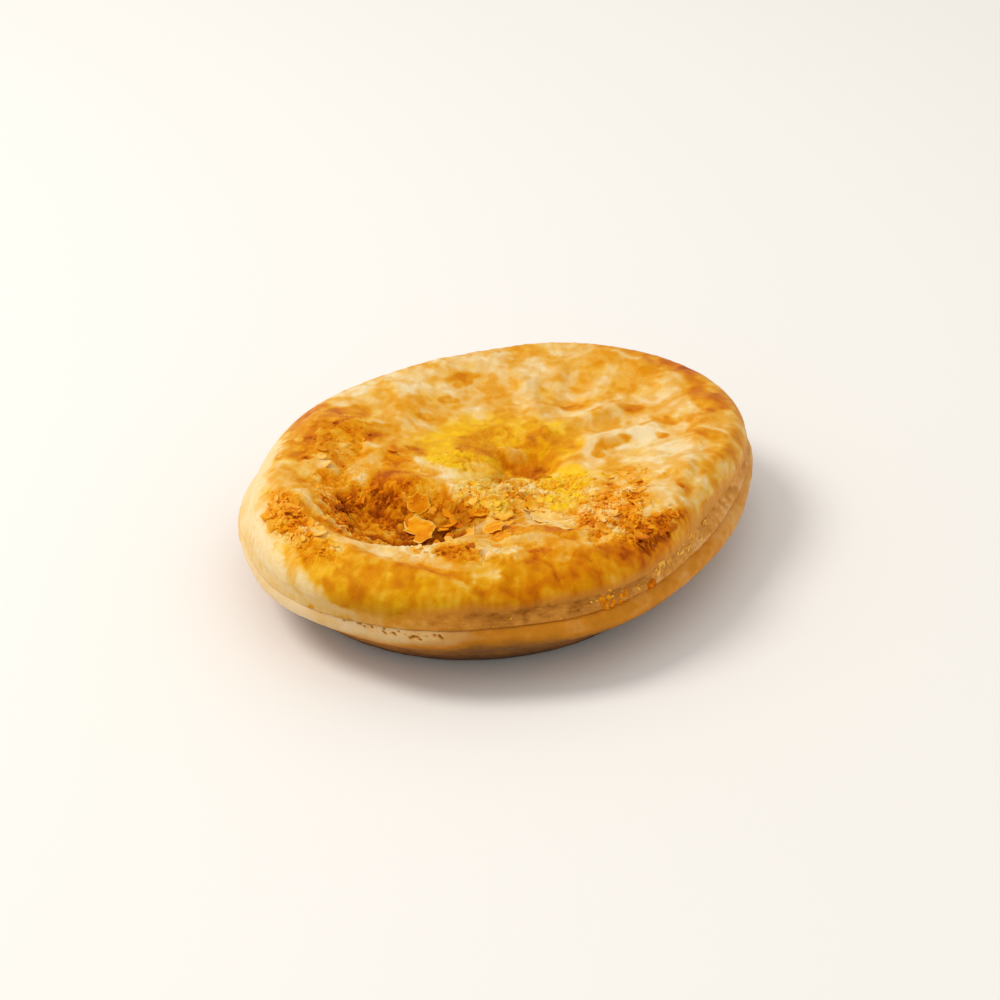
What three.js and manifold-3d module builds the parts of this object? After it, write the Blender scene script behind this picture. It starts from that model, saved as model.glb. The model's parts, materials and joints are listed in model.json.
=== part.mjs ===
// A minced beef pie: an oval case of short pastry under a puff pastry lid, sealed and baked together at the rim.
// The lid is puffed round its edge, sunk in the middle round a closed steam hole, and littered with broken flakes.
// Millimetres, +Z up. +X runs along the oval's long axis, and the pie rests on its flat bottom at z = 0.
import * as THREE from "three";
import { mergeVertices } from "three/addons/utils/BufferGeometryUtils.js";
import Module from "manifold-3d";

const wasm = await Module();
wasm.setup();

// Driving sizes, in mm, and angles in degrees.
const rimRadius = 54.2; // mean radius of the widest line, which runs round the case's rolled edge
// Hand-made unevenness of that line: waves round the pie, their size and where the first crest lies.
const rimWaves = [
  [2, 5.5, 0],
  [3, 1.4, 118],
  [4, 0.7, 84],
];
const rimCentre = [-1.33, -0.28]; // puts the middle of the pie's box on the Z axis

const lidInset = 3.1; // how far the lid's cut edge lies inside the widest line, as uneven as this:
const insetWaves = [
  [1, 0.3, 333],
  [2, 0.7, 97],
  [3, 0.4, 3],
  [4, 0.35, 41],
  [5, 0.6, 1],
];
const lidEdgeHeight = 17.7;
const seamHeight = 15.0; // underside of the lid
const seamGap = 0.3;
// The puffed shoulder inside the cut edge: it is broad at the front and tight elsewhere.
const shoulder = { rise: 6.4, swell: 0.7, towards: 165 };
const shoulderWidth = { least: 5.0, swell: 1.5, towards: 130, broader: 6.5, broadTowards: -140, broadReach: 36 };
const middle = { sag: 3.4, reach: 22 }; // the lid sinks again inside its puffed rim
const thinnestLid = 1.2; // at the bottom of its deepest hollow

// Hollows and swellings of the lid: depth is downwards, and floor is the flat share of the radius.
const dents = [
  { name: "dish", x: 2.7, y: -4.2, long: 19, wide: 18, turn: -48, depth: 2.2, floor: 0.15 },
  { name: "steamHole", x: 5.5, y: -1.4, long: 8.5, wide: 7.0, turn: -48, depth: 3.0, floor: 0.25 },
  { name: "plugLump", x: 6.3, y: 2.6, long: 4.6, wide: 3.6, turn: -48, depth: -2.3, floor: 0.1 },
  { name: "crater", x: -32.3, y: -1.7, long: 20.5, wide: 15.5, turn: -51, depth: 5.2, floor: 0.4 },
  { name: "craterHead", x: -31.3, y: 12.3, long: 11, wide: 8, turn: -60, depth: 1.6, floor: 0.2 },
  { name: "frontDip", x: -14.3, y: -21.2, long: 13, wide: 9, turn: -30, depth: 1.6, floor: 0.2 },
  { name: "saddleLump", x: -19.8, y: 5.3, long: 6.5, wide: 5.0, turn: -50, depth: -1.3, floor: 0.1 },
  { name: "backDip", x: 27.7, y: -4.7, long: 11, wide: 5, turn: -25, depth: 0.9, floor: 0.1 },
  { name: "farDip", x: 30.7, y: 9.8, long: 12, wide: 7, turn: 20, depth: 0.8, floor: 0.1 },
];
// Low ridges of puffed pastry, from one end to the other: x, y, x, y, half width, height.
const ridges = [
  [16.7, 2.8, 33.7, -3.2, 2.2, 1.1],
  [17.7, -8.2, 32.7, -13.2, 2.4, 1.1],
  [20.7, 8.8, 27.7, 17.8, 2.4, 0.9],
  [25.7, 8.8, 36.7, 15.8, 2.6, 0.8],
  [-50.3, -6.2, -40.3, -32.2, 2.6, 0.9],
  [-26.3, -27.2, -11.3, -37.2, 2.8, 0.8],
  [22.7, -31.2, 38.7, -22.2, 2.8, 0.9],
  [-4.3, 26.8, -21.3, 32.8, 3.0, 0.8],
  [2.7, -30.2, 8.7, -40.2, 2.6, 0.6],
];
// Torn layers: the lid drops along a line by a step, on the line's right, and rises again over its reach.
const folds = [
  { from: [-39.3, -35.2], to: [-49.8, -6.2], drop: 1.5, reach: 7 },
  { from: [-30.3, -22.2], to: [-10.3, -38.2], drop: 1.2, reach: 7 },
  { from: [-33.3, -31.2], to: [-29.3, -44.2], drop: 0.8, reach: 6 },
  { from: [-46.3, -1.2], to: [-45.3, 14.8], drop: 1.6, reach: 5 },
  { from: [8.7, -40.2], to: [22.7, -33.2], drop: 0.7, reach: 6 },
  { from: [-23.3, -13.2], to: [-25.3, -24.2], drop: 1.0, reach: 5 },
  { from: [-11.3, -17.2], to: [-1.3, -27.2], drop: 0.8, reach: 5 },
];
const foldBlur = 0.7; // half the width over which a step falls
const blisters = { count: 70, radius: [2.2, 5.0], height: [0.25, 0.85], margin: 5, seed: 11 };
const ripple = { cell: 7, height: 0.45, seed: 3 };
const crags = { cell: 2.6, height: 0.55, seed: 7 }; // extra roughness where broken flakes lie
const fineRelief = [1, 5]; // from none to all of it, this far in from the cut edge

// Broken flakes lie thickest here: middle, half sizes, turn, how many, and their length from and to.
const flakeZones = [
  { x: -30.3, y: -3.2, long: 15, wide: 9, turn: -51, count: 18, size: [2.6, 4.8] },
  { x: -5.3, y: -36.2, long: 12, wide: 8, turn: -50, count: 15, size: [2.4, 4.2] },
  { x: -51.3, y: 10.8, long: 9, wide: 3.6, turn: -72, count: 10, size: [2.2, 3.8] },
  { x: -15.3, y: -14.2, long: 10, wide: 6, turn: -48, count: 10, size: [2.6, 4.6] },
  { x: -23.3, y: 19.8, long: 10, wide: 7, turn: -30, count: 5, size: [2.2, 3.6] },
];
const flake = {
  thickness: 0.6,
  clear: 0.35, // share of the thickness by which its middle lies above the lid
  tilt: 24, // steepest
  margin: 2.6, // from its middle to the cut edge
  corners: [6, 8],
  cornerShare: [0.7, 1.15], // of half the length, from its middle to a corner
  narrow: 0.75,
  seed: 5,
};
// The broad flakes that stand out: x, y, length, tilt about X and about Y.
const broadFlakes = [
  [-32.3, -5.7, 8.6, 24, -16],
  [-24.8, 1.8, 6.4, 30, -10],
  [-19.8, -20.7, 8.0, 10, 12],
  [-2.3, -26.7, 5.4, -14, 10],
];

const lidRings = 30; // rings of triangles across the lid
const caseSegments = 108;

const degrees = Math.PI / 180;
const smooth = (from, to, value) => THREE.MathUtils.smoothstep(value, from, to);

// Repeatable draws and noise.
function draw(item, which, seed) {
  const spun = Math.sin(item * 127.1 + which * 311.7 + seed * 74.7) * 43758.5453;
  return spun - Math.floor(spun);
}
const drawBetween = ([low, high], item, which, seed) => low + (high - low) * draw(item, which, seed);

// Smooth noise from -1 to 1 whose bumps are a cell apart.
function noise(x, y, cell, seed) {
  const u = x / cell;
  const v = y / cell;
  const i = Math.floor(u);
  const j = Math.floor(v);
  const a = smooth(0, 1, u - i);
  const b = smooth(0, 1, v - j);
  const near = THREE.MathUtils.lerp(draw(i, j, seed), draw(i + 1, j, seed), a);
  const far = THREE.MathUtils.lerp(draw(i, j + 1, seed), draw(i + 1, j + 1, seed), a);
  return 2 * THREE.MathUtils.lerp(near, far, b) - 1;
}

// The sum of waves round the pie at an angle in radians.
const wavesAt = (waves, angle) =>
  waves.reduce((sum, [count, size, crest]) => sum + size * Math.cos(count * (angle - crest * degrees)), 0);
const widestRadius = (angle) => rimRadius + wavesAt(rimWaves, angle);
const lidRadius = (angle) => widestRadius(angle) - lidInset - wavesAt(insetWaves, angle);
const swollen = ({ swell, towards }, angle) => swell * Math.cos(angle - towards * degrees);

// How far in from the cut edge the shoulder reaches its full height.
function shoulderReach(angle) {
  const { least, broader, broadTowards, broadReach } = shoulderWidth;
  const away = (1 - Math.cos(angle - broadTowards * degrees)) / (1 - Math.cos(broadReach * degrees));
  return least + swollen(shoulderWidth, angle) + broader * Math.exp(-away);
}

// How far a point lies from an ellipse's middle, where 1 is its outline.
function ellipseShare(x, y, { x: cx, y: cy, long, wide, turn }) {
  const c = Math.cos(turn * degrees);
  const s = Math.sin(turn * degrees);
  return Math.hypot(((x - cx) * c + (y - cy) * s) / long, ((y - cy) * c - (x - cx) * s) / wide);
}

// Where a point lies against the line from a to b: the share of the way along, and the distance to its right.
function alongLine(x, y, [ax, ay], [bx, by]) {
  const length = Math.hypot(bx - ax, by - ay);
  const ux = (bx - ax) / length;
  const uy = (by - ay) / length;
  return {
    share: ((x - ax) * ux + (y - ay) * uy) / length,
    right: (x - ax) * uy - (y - ay) * ux,
    length,
  };
}

function ridgeRise(x, y, [ax, ay, bx, by, halfWidth, height]) {
  const { share, right, length } = alongLine(x, y, [ax, ay], [bx, by]);
  const past = (share - THREE.MathUtils.clamp(share, 0, 1)) * length;
  return height * Math.exp(-(right * right + past * past) / (halfWidth * halfWidth));
}

function foldDrop(x, y, { from, to, drop, reach }) {
  const { share, right } = alongLine(x, y, from, to);
  const within = smooth(-0.05, 0.15, share) * (1 - smooth(0.85, 1.05, share));
  return drop * within * smooth(-foldBlur, foldBlur, right) * (1 - smooth(0, reach, right));
}

// From 0 to 1, how thick the broken flakes lie.
function flakiness(x, y) {
  return Math.max(...flakeZones.map((zone) => 1 - smooth(0.6, 1.3, ellipseShare(x, y, zone))));
}

const blisterDomes = Array.from({ length: blisters.count }, (_, item) => {
  const angle = 2 * Math.PI * draw(item, 1, blisters.seed);
  const out = (lidRadius(angle) - blisters.margin) * Math.sqrt(draw(item, 2, blisters.seed));
  return {
    x: out * Math.cos(angle),
    y: out * Math.sin(angle),
    radius: drawBetween(blisters.radius, item, 3, blisters.seed),
    height: drawBetween(blisters.height, item, 4, blisters.seed),
  };
});

function lidTop(x, y) {
  const angle = Math.atan2(y, x);
  const inward = Math.max(0, lidRadius(angle) - Math.hypot(x, y)); // from the cut edge
  const width = shoulderReach(angle);
  const climb = 1 - Math.min(inward / width, 1);
  let z = lidEdgeHeight + (shoulder.rise + swollen(shoulder, angle)) * Math.sqrt(1 - climb * climb);
  z -= middle.sag * smooth(0, middle.reach, inward - width);
  for (const dent of dents) z -= dent.depth * (1 - smooth(dent.floor, 1, ellipseShare(x, y, dent)));
  for (const ridge of ridges) z += ridgeRise(x, y, ridge);
  for (const fold of folds) z -= foldDrop(x, y, fold);
  const fromEdge = smooth(...fineRelief, inward);
  for (const { x: bx, y: by, radius, height } of blisterDomes)
    z += fromEdge * height * Math.exp(-((x - bx) ** 2 + (y - by) ** 2) / (radius * radius));
  z += fromEdge * ripple.height * noise(x, y, ripple.cell, ripple.seed);
  z += fromEdge * flakiness(x, y) * crags.height * noise(x, y, crags.cell, crags.seed);
  return Math.max(z, seamHeight + thinnestLid);
}

function meshOf(points, triangles) {
  const geometry = new THREE.BufferGeometry();
  geometry.setAttribute("position", new THREE.Float32BufferAttribute(points.flat(), 3));
  geometry.setIndex(triangles.flat());
  return geometry;
}

const aroundRing = (count) => Array.from({ length: count }, (_, i) => (2 * Math.PI * i) / count);

// Joins each ring of count points to the one below it. Each ring is given by its first point's index.
function wall(rings, count) {
  const triangles = [];
  for (let r = 0; r + 1 < rings.length; r++)
    for (let i = 0; i < count; i++) {
      const next = (i + 1) % count;
      const [upper, lower] = [rings[r], rings[r + 1]];
      triangles.push([upper + i, lower + i, lower + next], [upper + i, lower + next, upper + next]);
    }
  return triangles;
}

// The cut edge, where the layers show: how far outside the lid's outline, and the share of the way down to the seam.
const cutEdge = [
  [0.35, 0.3],
  [0.45, 0.7],
  [0, 1],
];

// The lid: ring k of its top has 6 k points, so its triangles stay even from the middle to the edge.
function lidGeometry() {
  const points = [[0, 0, lidTop(0, 0)]];
  const triangles = [];
  const first = (ring) => (ring ? 3 * ring * (ring - 1) + 1 : 0);
  for (let ring = 1; ring <= lidRings; ring++) {
    const share = ring / lidRings;
    for (const angle of aroundRing(6 * ring)) {
      const radius = lidRadius(angle) * share;
      const [x, y] = [radius * Math.cos(angle), radius * Math.sin(angle)];
      points.push([x, y, lidTop(x, y)]);
    }
    const inner = (i) => first(ring - 1) + (ring > 1 ? i % (6 * (ring - 1)) : 0);
    const outer = (i) => first(ring) + (i % (6 * ring));
    for (let sector = 0; sector < 6; sector++)
      for (let i = 0; i < ring; i++) {
        const [a, b] = [sector * ring + i, sector * (ring - 1) + i];
        triangles.push([outer(a), outer(a + 1), inner(b)]);
        if (i < ring - 1) triangles.push([inner(b), outer(a + 1), inner(b + 1)]);
      }
  }
  const count = 6 * lidRings;
  const rings = [first(lidRings)];
  for (const [out, share] of cutEdge) {
    rings.push(points.length);
    for (const angle of aroundRing(count)) {
      const radius = lidRadius(angle) + out;
      const z = THREE.MathUtils.lerp(lidEdgeHeight, seamHeight, share);
      points.push([radius * Math.cos(angle), radius * Math.sin(angle), z]);
    }
  }
  triangles.push(...wall(rings, count));
  const centre = points.length;
  points.push([0, 0, seamHeight]);
  const last = rings.at(-1);
  for (let i = 0; i < count; i++) triangles.push([centre, last + ((i + 1) % count), last + i]);
  return meshOf(points, triangles);
}

// The case's wall from its flat top, under the lid, down its rolled edge to its bottom: inset from the widest line,
// and height.
const caseProfile = [
  [2.4, seamHeight - seamGap],
  [1.1, 14.2],
  [0.25, 13.3],
  [0, 12.2],
  [0.3, 11.1],
  [1.2, 10.2],
  [3.0, 9.1],
  [5.0, 7.3],
  [7.4, 4.9],
  [9.8, 2.5],
  [11.8, 0.8],
  [13.4, 0],
];
const rollWaves = { count: 9, size: 0.35, drift: 1.3 }; // the rolled edge is pressed unevenly

function caseGeometry() {
  const points = [];
  const rings = [];
  for (const [inset, z] of caseProfile) {
    rings.push(points.length);
    const rolled = rollWaves.size * (1 - smooth(1, 3, inset));
    for (const angle of aroundRing(caseSegments)) {
      const pressed = Math.sin(rollWaves.count * angle + rollWaves.drift * Math.sin(2 * angle));
      const radius = widestRadius(angle) - inset + rolled * pressed;
      points.push([radius * Math.cos(angle), radius * Math.sin(angle), z]);
    }
  }
  const triangles = wall(rings, caseSegments);
  const [top, bottom] = [points.length, points.length + 1];
  points.push([0, 0, seamHeight - seamGap], [0, 0, 0]);
  const last = rings.at(-1);
  for (let i = 0; i < caseSegments; i++) {
    const next = (i + 1) % caseSegments;
    triangles.push([top, i, next], [bottom, last + next, last + i]);
  }
  return meshOf(points, triangles);
}

// A thin irregular plate, lying flat round the origin.
function flakeGeometry(length, item) {
  const corners = Math.floor(drawBetween(flake.corners, item, 20, flake.seed));
  const outline = new THREE.Shape(
    aroundRing(corners).map((angle, corner) => {
      const radius = (length / 2) * drawBetween(flake.cornerShare, item, 21 + corner, flake.seed);
      return new THREE.Vector2(radius * Math.cos(angle), flake.narrow * radius * Math.sin(angle));
    }),
  );
  const plate = new THREE.ExtrudeGeometry(outline, { depth: flake.thickness, bevelEnabled: false });
  return plate.translate(0, 0, -flake.thickness / 2);
}

// Lays a flake on the lid, moved inwards if it would reach over the cut edge.
function placedFlake(wantedX, wantedY, length, turns, item) {
  const furthest = lidRadius(Math.atan2(wantedY, wantedX)) - flake.margin;
  const within = Math.min(1, furthest / Math.hypot(wantedX, wantedY));
  const [x, y] = [wantedX * within, wantedY * within];
  const plate = flakeGeometry(length, item);
  plate.applyMatrix4(new THREE.Matrix4().makeRotationFromEuler(new THREE.Euler(...turns, "ZXY")));
  return plate.translate(x, y, lidTop(x, y) + flake.thickness * flake.clear);
}

// Every broken flake on the lid.
function flakes() {
  const placed = [];
  flakeZones.forEach((zone, z) => {
    const [c, s] = [Math.cos(zone.turn * degrees), Math.sin(zone.turn * degrees)];
    for (let item = z * 100; item < z * 100 + zone.count; item++) {
      const out = Math.sqrt(draw(item, 1, flake.seed));
      const way = 2 * Math.PI * draw(item, 2, flake.seed);
      const [u, v] = [zone.long * out * Math.cos(way), zone.wide * out * Math.sin(way)];
      const tilt = (which) => degrees * drawBetween([-flake.tilt, flake.tilt], item, which, flake.seed);
      const turns = [tilt(4), tilt(5), 2 * Math.PI * draw(item, 6, flake.seed)];
      const length = drawBetween(zone.size, item, 3, flake.seed);
      placed.push(placedFlake(zone.x + u * c - v * s, zone.y + u * s + v * c, length, turns, item));
    }
  });
  broadFlakes.forEach(([x, y, length, aboutX, aboutY], item) => {
    placed.push(placedFlake(x, y, length, [aboutX * degrees, aboutY * degrees, item], 900 + item));
  });
  return placed;
}

function solidOf(geometry) {
  const bare = geometry.clone();
  bare.deleteAttribute("normal");
  bare.deleteAttribute("uv");
  const merged = mergeVertices(bare, 1e-4);
  return new wasm.Manifold(
    new wasm.Mesh({
      numProp: 3,
      vertProperties: merged.attributes.position.array,
      triVerts: new Uint32Array(merged.index.array),
    }),
  );
}

// Fuses geometries into one solid, and drops loose scraps and sealed hollows.
function fused(geometries) {
  const whole = geometries.map(solidOf).reduce((sum, next) => sum.add(next));
  const [body] = whole.decompose().sort((a, b) => b.volume() - a.volume());
  const mesh = body.getMesh();
  const geometry = new THREE.BufferGeometry();
  geometry.setAttribute("position", new THREE.BufferAttribute(mesh.vertProperties, 3));
  geometry.setIndex(new THREE.BufferAttribute(mesh.triVerts, 1));
  return geometry;
}

function pastry(name, geometry, color, roughness) {
  geometry.computeVertexNormals();
  const mesh = new THREE.Mesh(geometry, new THREE.MeshStandardMaterial({ color, roughness, metalness: 0 }));
  mesh.name = name;
  mesh.position.set(rimCentre[0], rimCentre[1], 0);
  return mesh;
}

const pie = new THREE.Group();
pie.add(
  pastry("case", caseGeometry(), 0xd9ad6a, 0.75),
  pastry("lid", fused([lidGeometry(), ...flakes()]), 0xdf9a35, 0.55),
);

export default pie;
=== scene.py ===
# A minced beef pie: a pale short pastry case, a puffed and browned lid that sinks round its steam hole,
# and the broken flakes, shreds and crumbs that lie on it. Sizes are in mm until a mesh is made.
import json
import math
import bpy
import numpy as np
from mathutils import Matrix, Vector

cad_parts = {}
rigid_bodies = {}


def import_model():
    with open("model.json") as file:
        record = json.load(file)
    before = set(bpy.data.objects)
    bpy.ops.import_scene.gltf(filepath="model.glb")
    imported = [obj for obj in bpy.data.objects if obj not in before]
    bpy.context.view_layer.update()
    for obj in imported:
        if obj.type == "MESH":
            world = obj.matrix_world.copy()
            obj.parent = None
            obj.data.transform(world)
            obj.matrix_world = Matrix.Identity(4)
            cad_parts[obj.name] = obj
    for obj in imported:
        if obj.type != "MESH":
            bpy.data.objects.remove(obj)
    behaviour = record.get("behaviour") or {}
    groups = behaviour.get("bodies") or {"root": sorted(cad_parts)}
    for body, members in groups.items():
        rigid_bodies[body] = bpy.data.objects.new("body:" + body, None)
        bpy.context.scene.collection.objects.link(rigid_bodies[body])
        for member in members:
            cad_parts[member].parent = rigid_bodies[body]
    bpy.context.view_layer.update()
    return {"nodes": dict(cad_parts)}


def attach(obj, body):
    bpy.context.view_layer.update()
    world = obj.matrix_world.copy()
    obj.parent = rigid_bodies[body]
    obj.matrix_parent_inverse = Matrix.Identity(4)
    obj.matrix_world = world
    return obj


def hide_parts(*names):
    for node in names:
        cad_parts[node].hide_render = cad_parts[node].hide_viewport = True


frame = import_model()
mm = 0.001
print("frame loaded:", sorted(frame["nodes"]))


# Repeatable draws, noise and soft steps.
def draw(item, which, seed):
    spun = np.sin(item * 127.1 + which * 311.7 + seed * 74.7) * 43758.5453
    return spun - np.floor(spun)


def drawBetween(span, item, which, seed):
    return span[0] + (span[1] - span[0]) * draw(item, which, seed)


def smooth(start, end, value):
    t = np.clip((value - start) / (end - start), 0, 1)
    return t * t * (3 - 2 * t)


def noise(x, y, cell, seed):  # from -1 to 1, its bumps a cell apart
    i, j = np.floor(x / cell), np.floor(y / cell)
    a, b = smooth(0, 1, x / cell - i), smooth(0, 1, y / cell - j)
    near = draw(i, j, seed) * (1 - a) + draw(i + 1, j, seed) * a
    far = draw(i, j + 1, seed) * (1 - a) + draw(i + 1, j + 1, seed) * a
    return 2 * (near * (1 - b) + far * b) - 1


def mottled(level, x, y, mottles):  # a level with noise on it: each strength, cell, seed and how fine along y
    for strength, cell, seed, finer in mottles:
        level = level + strength * noise(x, y * finer, cell, seed)
    return level


def wandering(x, y, places, size, cell, *seeds):  # places moved about a little, so that no outline is smooth
    return [place + size * noise(x, y, cell, seed) for place, seed in zip(places, seeds)]


def turned(x, y, degrees):
    c, s = math.cos(math.radians(degrees)), math.sin(math.radians(degrees))
    return x * c + y * s, y * c - x * s


# The pie's form, the same as its solids.
pieForm = {
    "centre": (-1.33, -0.28),
    "rimRadius": 54.2,
    "rimWaves": [(2, 5.5, 0), (3, 1.4, 118), (4, 0.7, 84)],  # count, size, where the crest lies
    "lidInset": 3.1,
    "insetWaves": [(1, 0.3, 333), (2, 0.7, 97), (3, 0.4, 3), (4, 0.35, 41), (5, 0.6, 1)],
    "lidEdge": 17.7,
    "seam": 15.0,
    "shoulderRise": (6.4, 0.7, 165),  # mean, swell, and the side that swells
    "shoulderWidth": (5.0, 1.5, 130),
    "shoulderBroad": (6.5, -140, 36),
    "middleSag": (3.4, 22),
    "thinnestLid": 1.2,
    "fineRelief": (1, 5),
}
# Hollows and lumps of the lid: x, y, half length, half width, turn, depth, flat share.
dents = [
    (2.7, -4.2, 19, 18, -48, 2.2, 0.15),
    (5.5, -1.4, 8.5, 7, -48, 3, 0.25),
    (6.3, 2.6, 4.6, 3.6, -48, -2.3, 0.1),
    (-32.3, -1.7, 20.5, 15.5, -51, 5.2, 0.4),
    (-31.3, 12.3, 11, 8, -60, 1.6, 0.2),
    (-14.3, -21.2, 13, 9, -30, 1.6, 0.2),
    (-19.8, 5.3, 6.5, 5, -50, -1.3, 0.1),
    (27.7, -4.7, 11, 5, -25, 0.9, 0.1),
    (30.7, 9.8, 12, 7, 20, 0.8, 0.1),
]
# Ridges of puffed pastry: from x, y to x, y, half width, height.
ridges = [
    (16.7, 2.8, 33.7, -3.2, 2.2, 1.1),
    (17.7, -8.2, 32.7, -13.2, 2.4, 1.1),
    (20.7, 8.8, 27.7, 17.8, 2.4, 0.9),
    (25.7, 8.8, 36.7, 15.8, 2.6, 0.8),
    (-50.3, -6.2, -40.3, -32.2, 2.6, 0.9),
    (-26.3, -27.2, -11.3, -37.2, 2.8, 0.8),
    (22.7, -31.2, 38.7, -22.2, 2.8, 0.9),
    (-4.3, 26.8, -21.3, 32.8, 3, 0.8),
    (2.7, -30.2, 8.7, -40.2, 2.6, 0.6),
]
# Torn layers: from x, y to x, y, drop on the right, reach.
folds = [
    (-39.3, -35.2, -49.8, -6.2, 1.5, 7),
    (-30.3, -22.2, -10.3, -38.2, 1.2, 7),
    (-33.3, -31.2, -29.3, -44.2, 0.8, 6),
    (-46.3, -1.2, -45.3, 14.8, 1.6, 5),
    (8.7, -40.2, 22.7, -33.2, 0.7, 6),
    (-23.3, -13.2, -25.3, -24.2, 1, 5),
    (-11.3, -17.2, -1.3, -27.2, 0.8, 5),
]
foldBlur = 1.2
blisters = {"count": 70, "radius": (2.2, 5.0), "height": (0.25, 0.85), "margin": 5, "seed": 11}
ripple = {"cell": 7, "height": 0.45, "seed": 3}
crags = {"cell": 2.6, "height": 0.55, "seed": 7}
# Where flakes lie thick: x, y, half length, half width, turn, count, lengths.
flakeZones = [
    (-30.3, -3.2, 15, 9, -51, 18, (2.6, 4.8)),
    (-5.3, -36.2, 12, 8, -50, 15, (2.4, 4.2)),
    (-51.3, 10.8, 9, 3.6, -72, 10, (2.2, 3.8)),
    (-15.3, -14.2, 10, 6, -48, 10, (2.6, 4.6)),
    (-23.3, 19.8, 10, 7, -30, 5, (2.2, 3.6)),
]


def wavesAt(waves, angle):
    return sum(size * np.cos(count * (angle - math.radians(crest))) for count, size, crest in waves)


def widestRadius(angle):
    return pieForm["rimRadius"] + wavesAt(pieForm["rimWaves"], angle)


def lidRadius(angle):
    return widestRadius(angle) - pieForm["lidInset"] - wavesAt(pieForm["insetWaves"], angle)


def swollen(mean, swell, towards, angle):
    return mean + swell * np.cos(angle - math.radians(towards))


def shoulderReach(angle):
    broader, towards, reach = pieForm["shoulderBroad"]
    away = (1 - np.cos(angle - math.radians(towards))) / (1 - math.cos(math.radians(reach)))
    return swollen(*pieForm["shoulderWidth"], angle) + broader * np.exp(-away)


def ellipseShare(x, y, cx, cy, long, wide, turn):
    u, v = turned(x - cx, y - cy, turn)
    return np.hypot(u / long, v / wide)


def alongLine(x, y, ax, ay, bx, by):  # share of the way along, distance to the right, length
    length = math.hypot(bx - ax, by - ay)
    ux, uy = (bx - ax) / length, (by - ay) / length
    return ((x - ax) * ux + (y - ay) * uy) / length, (x - ax) * uy - (y - ay) * ux, length


def ridgeRise(x, y, ax, ay, bx, by, halfWidth, height):
    share, right, length = alongLine(x, y, ax, ay, bx, by)
    past = (share - np.clip(share, 0, 1)) * length
    return height * np.exp(-(right**2 + past**2) / halfWidth**2)


def foldDrop(x, y, ax, ay, bx, by, drop, reach):
    share, right, _ = alongLine(x, y, ax, ay, bx, by)
    within = smooth(-0.05, 0.15, share) * (1 - smooth(0.85, 1.05, share))
    return drop * within * smooth(-foldBlur, foldBlur, right) * (1 - smooth(0, reach, right))


def thickest(x, y, places, start, end):  # how much of something there is, from places that each say how much
    shares = [much * (1 - smooth(start, end, ellipseShare(x, y, *place))) for *place, much in places]
    return np.max(shares, axis=0)


def flakiness(x, y):
    return thickest(x, y, [(*zone[:5], 1) for zone in flakeZones], 0.6, 1.3)


def shoulderShare(angle, inward):  # how far up the shoulder a place is, from 0 at the lid's edge to 1
    climb = 1 - np.clip(inward / shoulderReach(angle), 0, 1)
    return np.sqrt(1 - climb**2)


def placeOnLid(x, y):  # its angle, and how far inward it is from the lid's edge
    angle = np.arctan2(y, x)
    return angle, lidRadius(angle) - np.hypot(x, y)


def pieAxes(x, y):  # from the lid's own middle to the middle of the pie's box
    return x + pieForm["centre"][0], y + pieForm["centre"][1]


def blisterDomes():
    item = np.arange(blisters["count"], dtype=float)
    seed = blisters["seed"]
    angle = 2 * math.pi * draw(item, 1, seed)
    out = (lidRadius(angle) - blisters["margin"]) * np.sqrt(draw(item, 2, seed))
    radius = drawBetween(blisters["radius"], item, 3, seed)
    height = drawBetween(blisters["height"], item, 4, seed)
    return zip(out * np.cos(angle), out * np.sin(angle), radius, height)


def lidTop(x, y):
    angle, inward = placeOnLid(x, y)
    sag, reach = pieForm["middleSag"]
    z = pieForm["lidEdge"] + swollen(*pieForm["shoulderRise"], angle) * shoulderShare(angle, inward)
    z = z - sag * smooth(0, reach, inward - shoulderReach(angle))
    for *dent, depth, flat in dents:
        z -= depth * (1 - smooth(flat, 1, ellipseShare(x, y, *dent)))
    for ridge in ridges:
        z += ridgeRise(x, y, *ridge)
    for fold in folds:
        z -= foldDrop(x, y, *fold)
    fromEdge = smooth(*pieForm["fineRelief"], inward)
    for bx, by, radius, height in blisterDomes():
        z += fromEdge * height * np.exp(-((x - bx) ** 2 + (y - by) ** 2) / radius**2)
    z += fromEdge * ripple["height"] * noise(x, y, ripple["cell"], ripple["seed"])
    z += fromEdge * flakiness(x, y) * crags["height"] * noise(x, y, crags["cell"], crags["seed"])
    return np.maximum(z, pieForm["seam"] + pieForm["thinnestLid"])


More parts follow.
